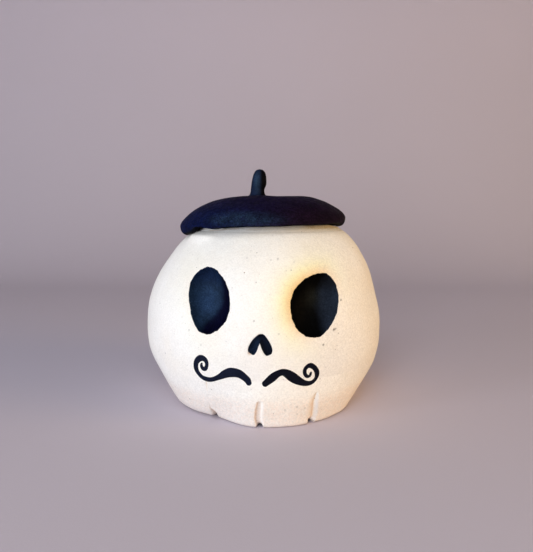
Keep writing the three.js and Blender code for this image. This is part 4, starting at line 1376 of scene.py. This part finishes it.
def beret_outside(turn):
    """The beret's rings from the top down and in under its edge, and how far each ring hangs"""
    rows = [(*row, 1.0, 0.0) for row in BERET_TOP_SHARES]
    rows += [(radius, rise, 1 - hang, hang) for radius, rise, hang in BERET_EDGE_SHARES]
    share, rise, roll, hang = spline(rows, BERET_GRID[0]).T[..., None]
    out = np.where(hang > BERET_LIP_START, np.maximum(share, by_turn(BERET_LIP_SHARES, turn)), share)
    knots = by_turn(BERET_EDGE, np.radians(np.arange(-180, 180, BERET_EDGE_STEP)))
    places = around(BERET_RADIUS * out, turn, SEAT_HEIGHT + BERET_RISE * rise)
    x, y, z = np.moveaxis(places, -1, 0)
    z = z + roll * x * (BERET_ROLL + BERET_FLARE * out ** 2) + hang * periodic(knots, turn / TURN + 0.5)
    for middle, x_spread, y_spread, height in BERET_DENTS:
        z = z + height * hill((x - middle) / x_spread, (y - BERET_DENT_Y) / y_spread)
    for start, end, height in BERET_STEPS:
        z = z + roll * height * smooth_step(start, end, x)
    places = np.stack([x, y, z], -1)
    lump = BERET_LUMP * lid_waves.at(places) * smooth_step(*BERET_LUMP_SHARES, out)
    jag = BERET_JAG * edge_waves.at(places * BERET_JAG_STRETCH) * hang
    shrink = 1 - BERET_SHRINK_SHARE * (1 - lid_waves.held(places * BERET_SHRINK_STRETCH) / WAVE_LIMIT)
    return np.stack([x * shrink + BERET_SHIFT, y * shrink, z + lump * roll + jag], -1), hang


def beret_crown():
    """The cap: its top, its hanging edge, its seat and the hollow under it"""
    turn = np.linspace(-math.pi, math.pi, BERET_GRID[1], endpoint=False)
    outside, hang = beret_outside(turn)
    ridge = by_turn(COIL_RIDGE, turn)
    to_mouth = MOUTH_SHIFT - BERET_SHIFT
    inside = [around(radius, turn, SEAT_HEIGHT + raised * ridge, BERET_SHIFT + to_mouth * moved)
              for radius, moved, raised in SEAT_ROWS]
    inside += [around(HOLLOW_RADIUS * share, turn, SEAT_HEIGHT + HOLLOW_DEPTH * rise, MOUTH_SHIFT)
               for share, rise in HOLLOW_SHARES]
    top = (BERET_SHIFT, 0.0, outside[0, :, 2].mean())
    under = (MOUTH_SHIFT, 0.0, SEAT_HEIGHT + HOLLOW_DEPTH)
    piece = capped_piece("beret_cap", np.concatenate([outside, inside]), top, under, beret_material)
    # The hanging hem and the whole underside get painted shade
    hem = np.repeat(smooth_step(*BERET_HEM_SHARES, hang), len(turn))
    shade_piece(piece, {"hem": np.concatenate([hem, np.ones(len(inside) * len(turn))])})
    return piece


def beret_stem():
    """The stem, round and a little flattened, with a painted highlight at the front left and painted shade at
    the right
    """
    turn = np.linspace(0, TURN, STEM_GRID[1], endpoint=False)
    rise, shift, half = spline(STEM_ROWS, STEM_GRID[0]).T[..., None]
    x, y, height = np.moveaxis(around(half, turn, STEM_FOOT + (STEM_TOP - STEM_FOOT) * rise), -1, 0)
    y = y * STEM_FLATNESS
    bulge = 1 + STEM_UNEVEN_SHARE * lid_waves.at(np.stack([x, y, height], -1) * STEM_WAVE_STRETCH)
    rings = np.stack([x * bulge + shift, y * bulge, height], -1)
    foot, top = (STEM_ROWS[0][1], 0.0, STEM_FOOT), (STEM_ROWS[-1][1], 0.0, STEM_TOP)
    piece = capped_piece("beret_knob", rings, foot, top, bowl_materials["beret_knob"])
    # Painted highlight at the front left and painted shade at the right
    painted_light = hill(*((rings[..., axis] - place) / spread
                  for axis, place, spread in zip((0, 2), STEM_HIGHLIGHT["place"], STEM_HIGHLIGHT["spread"])))
    shade_piece(piece, {"painted_light": painted_light * (rings[..., 1] < 0), "dark": smooth_step(*STEM_SHADE_SIDE, rings[..., 0])})
    return piece


def settle(piece, body, node):
    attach(piece, body)
    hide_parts(node)


settle(skull_body(), "skull", "skull_body")
settle(mouth_coil(), "skull", "mouth_rim")
for socket in sockets:
    settle(socket_coat(socket), "skull", socket.values["node"])
settle(nose_coat(), "skull", "nose_slip")
for values in MOUSTACHES:
    settle(moustache_paint(values), "skull", values["node"])
settle(beret_crown(), "lid", "beret_crown")
settle(beret_stem(), "lid", "beret_stem")
settle(lid_flange(), "lid", "locating_flange")


# The stage, in metres: a pale sweep, a camera and soft light

STAGE_NEAR = -0.9
STAGE_BEND = 0.30
STAGE_RADIUS = 0.35
STAGE_HALF = 2.8
STAGE_TOP = 1.6
AIM = (0.0, 0.0, 0.045)
LAMPS = {
    "key_light": {"place": (-0.25, -0.85, 0.20), "size": 0.4, "power": 3.02, "colour": (0.92, 0.965, 1.0)},
    "left_fill": {"place": (-0.76, -0.44, 0.08), "size": 0.25, "power": 3.5, "colour": (0.88, 0.92, 1.0)},
    "warm_fill": {"place": (0.76, -0.27, 0.14), "size": 0.5, "power": 4.62, "colour": (1.0, 0.655, 0.27)},
    "top_light": {"place": (-0.10, -0.60, 0.64), "size": 0.7, "power": 2.3, "colour": (0.95, 0.98, 1.0)},
}
WORLD_COLOUR = (0.97, 0.96, 1.0, 1.0)
WORLD_STRENGTH = 0.18


def sweep():
    """The floor, a bend and the wall behind"""
    profile = [(y, 0.0) for y in np.linspace(STAGE_NEAR, STAGE_BEND, 12)]
    for angle in np.radians(np.linspace(6, 90, 15)):
        profile.append((STAGE_BEND + STAGE_RADIUS * math.sin(angle), STAGE_RADIUS * (1 - math.cos(angle))))
    profile += [(STAGE_BEND + STAGE_RADIUS, z) for z in np.linspace(STAGE_RADIUS + 0.1, STAGE_TOP, 8)]
    sides = np.linspace(-STAGE_HALF, STAGE_HALF, 9)
    points = np.array([(x, y, z) for y, z in profile for x in sides]) / MM
    faces = grid_faces(len(profile), len(sides)).tolist()
    return mesh_piece("paper_sweep", points, faces, paper_look("pale_paper"))


sweep()


def lamp(name, place, size, power, colour):
    data = bpy.data.lights.new(name, "AREA")
    data.shape = "DISK"
    data.size = size
    data.energy = power
    data.color = colour
    light = bpy.data.objects.new(name, data)
    bpy.context.scene.collection.objects.link(light)
    x, y, z = np.subtract(AIM, place)
    light.location = place
    light.rotation_euler = (math.pi / 2 + math.atan2(z, math.hypot(x, y)), 0.0, math.atan2(-x, y))


def photo_camera():
    data = bpy.data.cameras.new("photo_camera")
    data.lens = CAMERA_LENS
    data.sensor_width = CAMERA_SENSOR
    data.clip_start, data.clip_end = CAMERA_RANGE
    camera = bpy.data.objects.new("photo_camera", data)
    camera.location = CAMERA_PLACE
    camera.rotation_euler = (math.radians(90 - CAMERA_PITCH), 0.0, 0.0)
    bpy.context.scene.collection.objects.link(camera)
    return camera


def soft_world():
    world = bpy.data.worlds.new("soft_world")
    world.use_nodes = True
    background = world.node_tree.nodes["Background"]
    background.inputs["Color"].default_value = WORLD_COLOUR
    background.inputs["Strength"].default_value = WORLD_STRENGTH
    return world


for name, values in LAMPS.items():
    lamp(name, **values)
bpy.context.scene.world = soft_world()
bpy.context.scene.view_settings.view_transform = "Standard"
bpy.context.scene.camera = photo_camera()
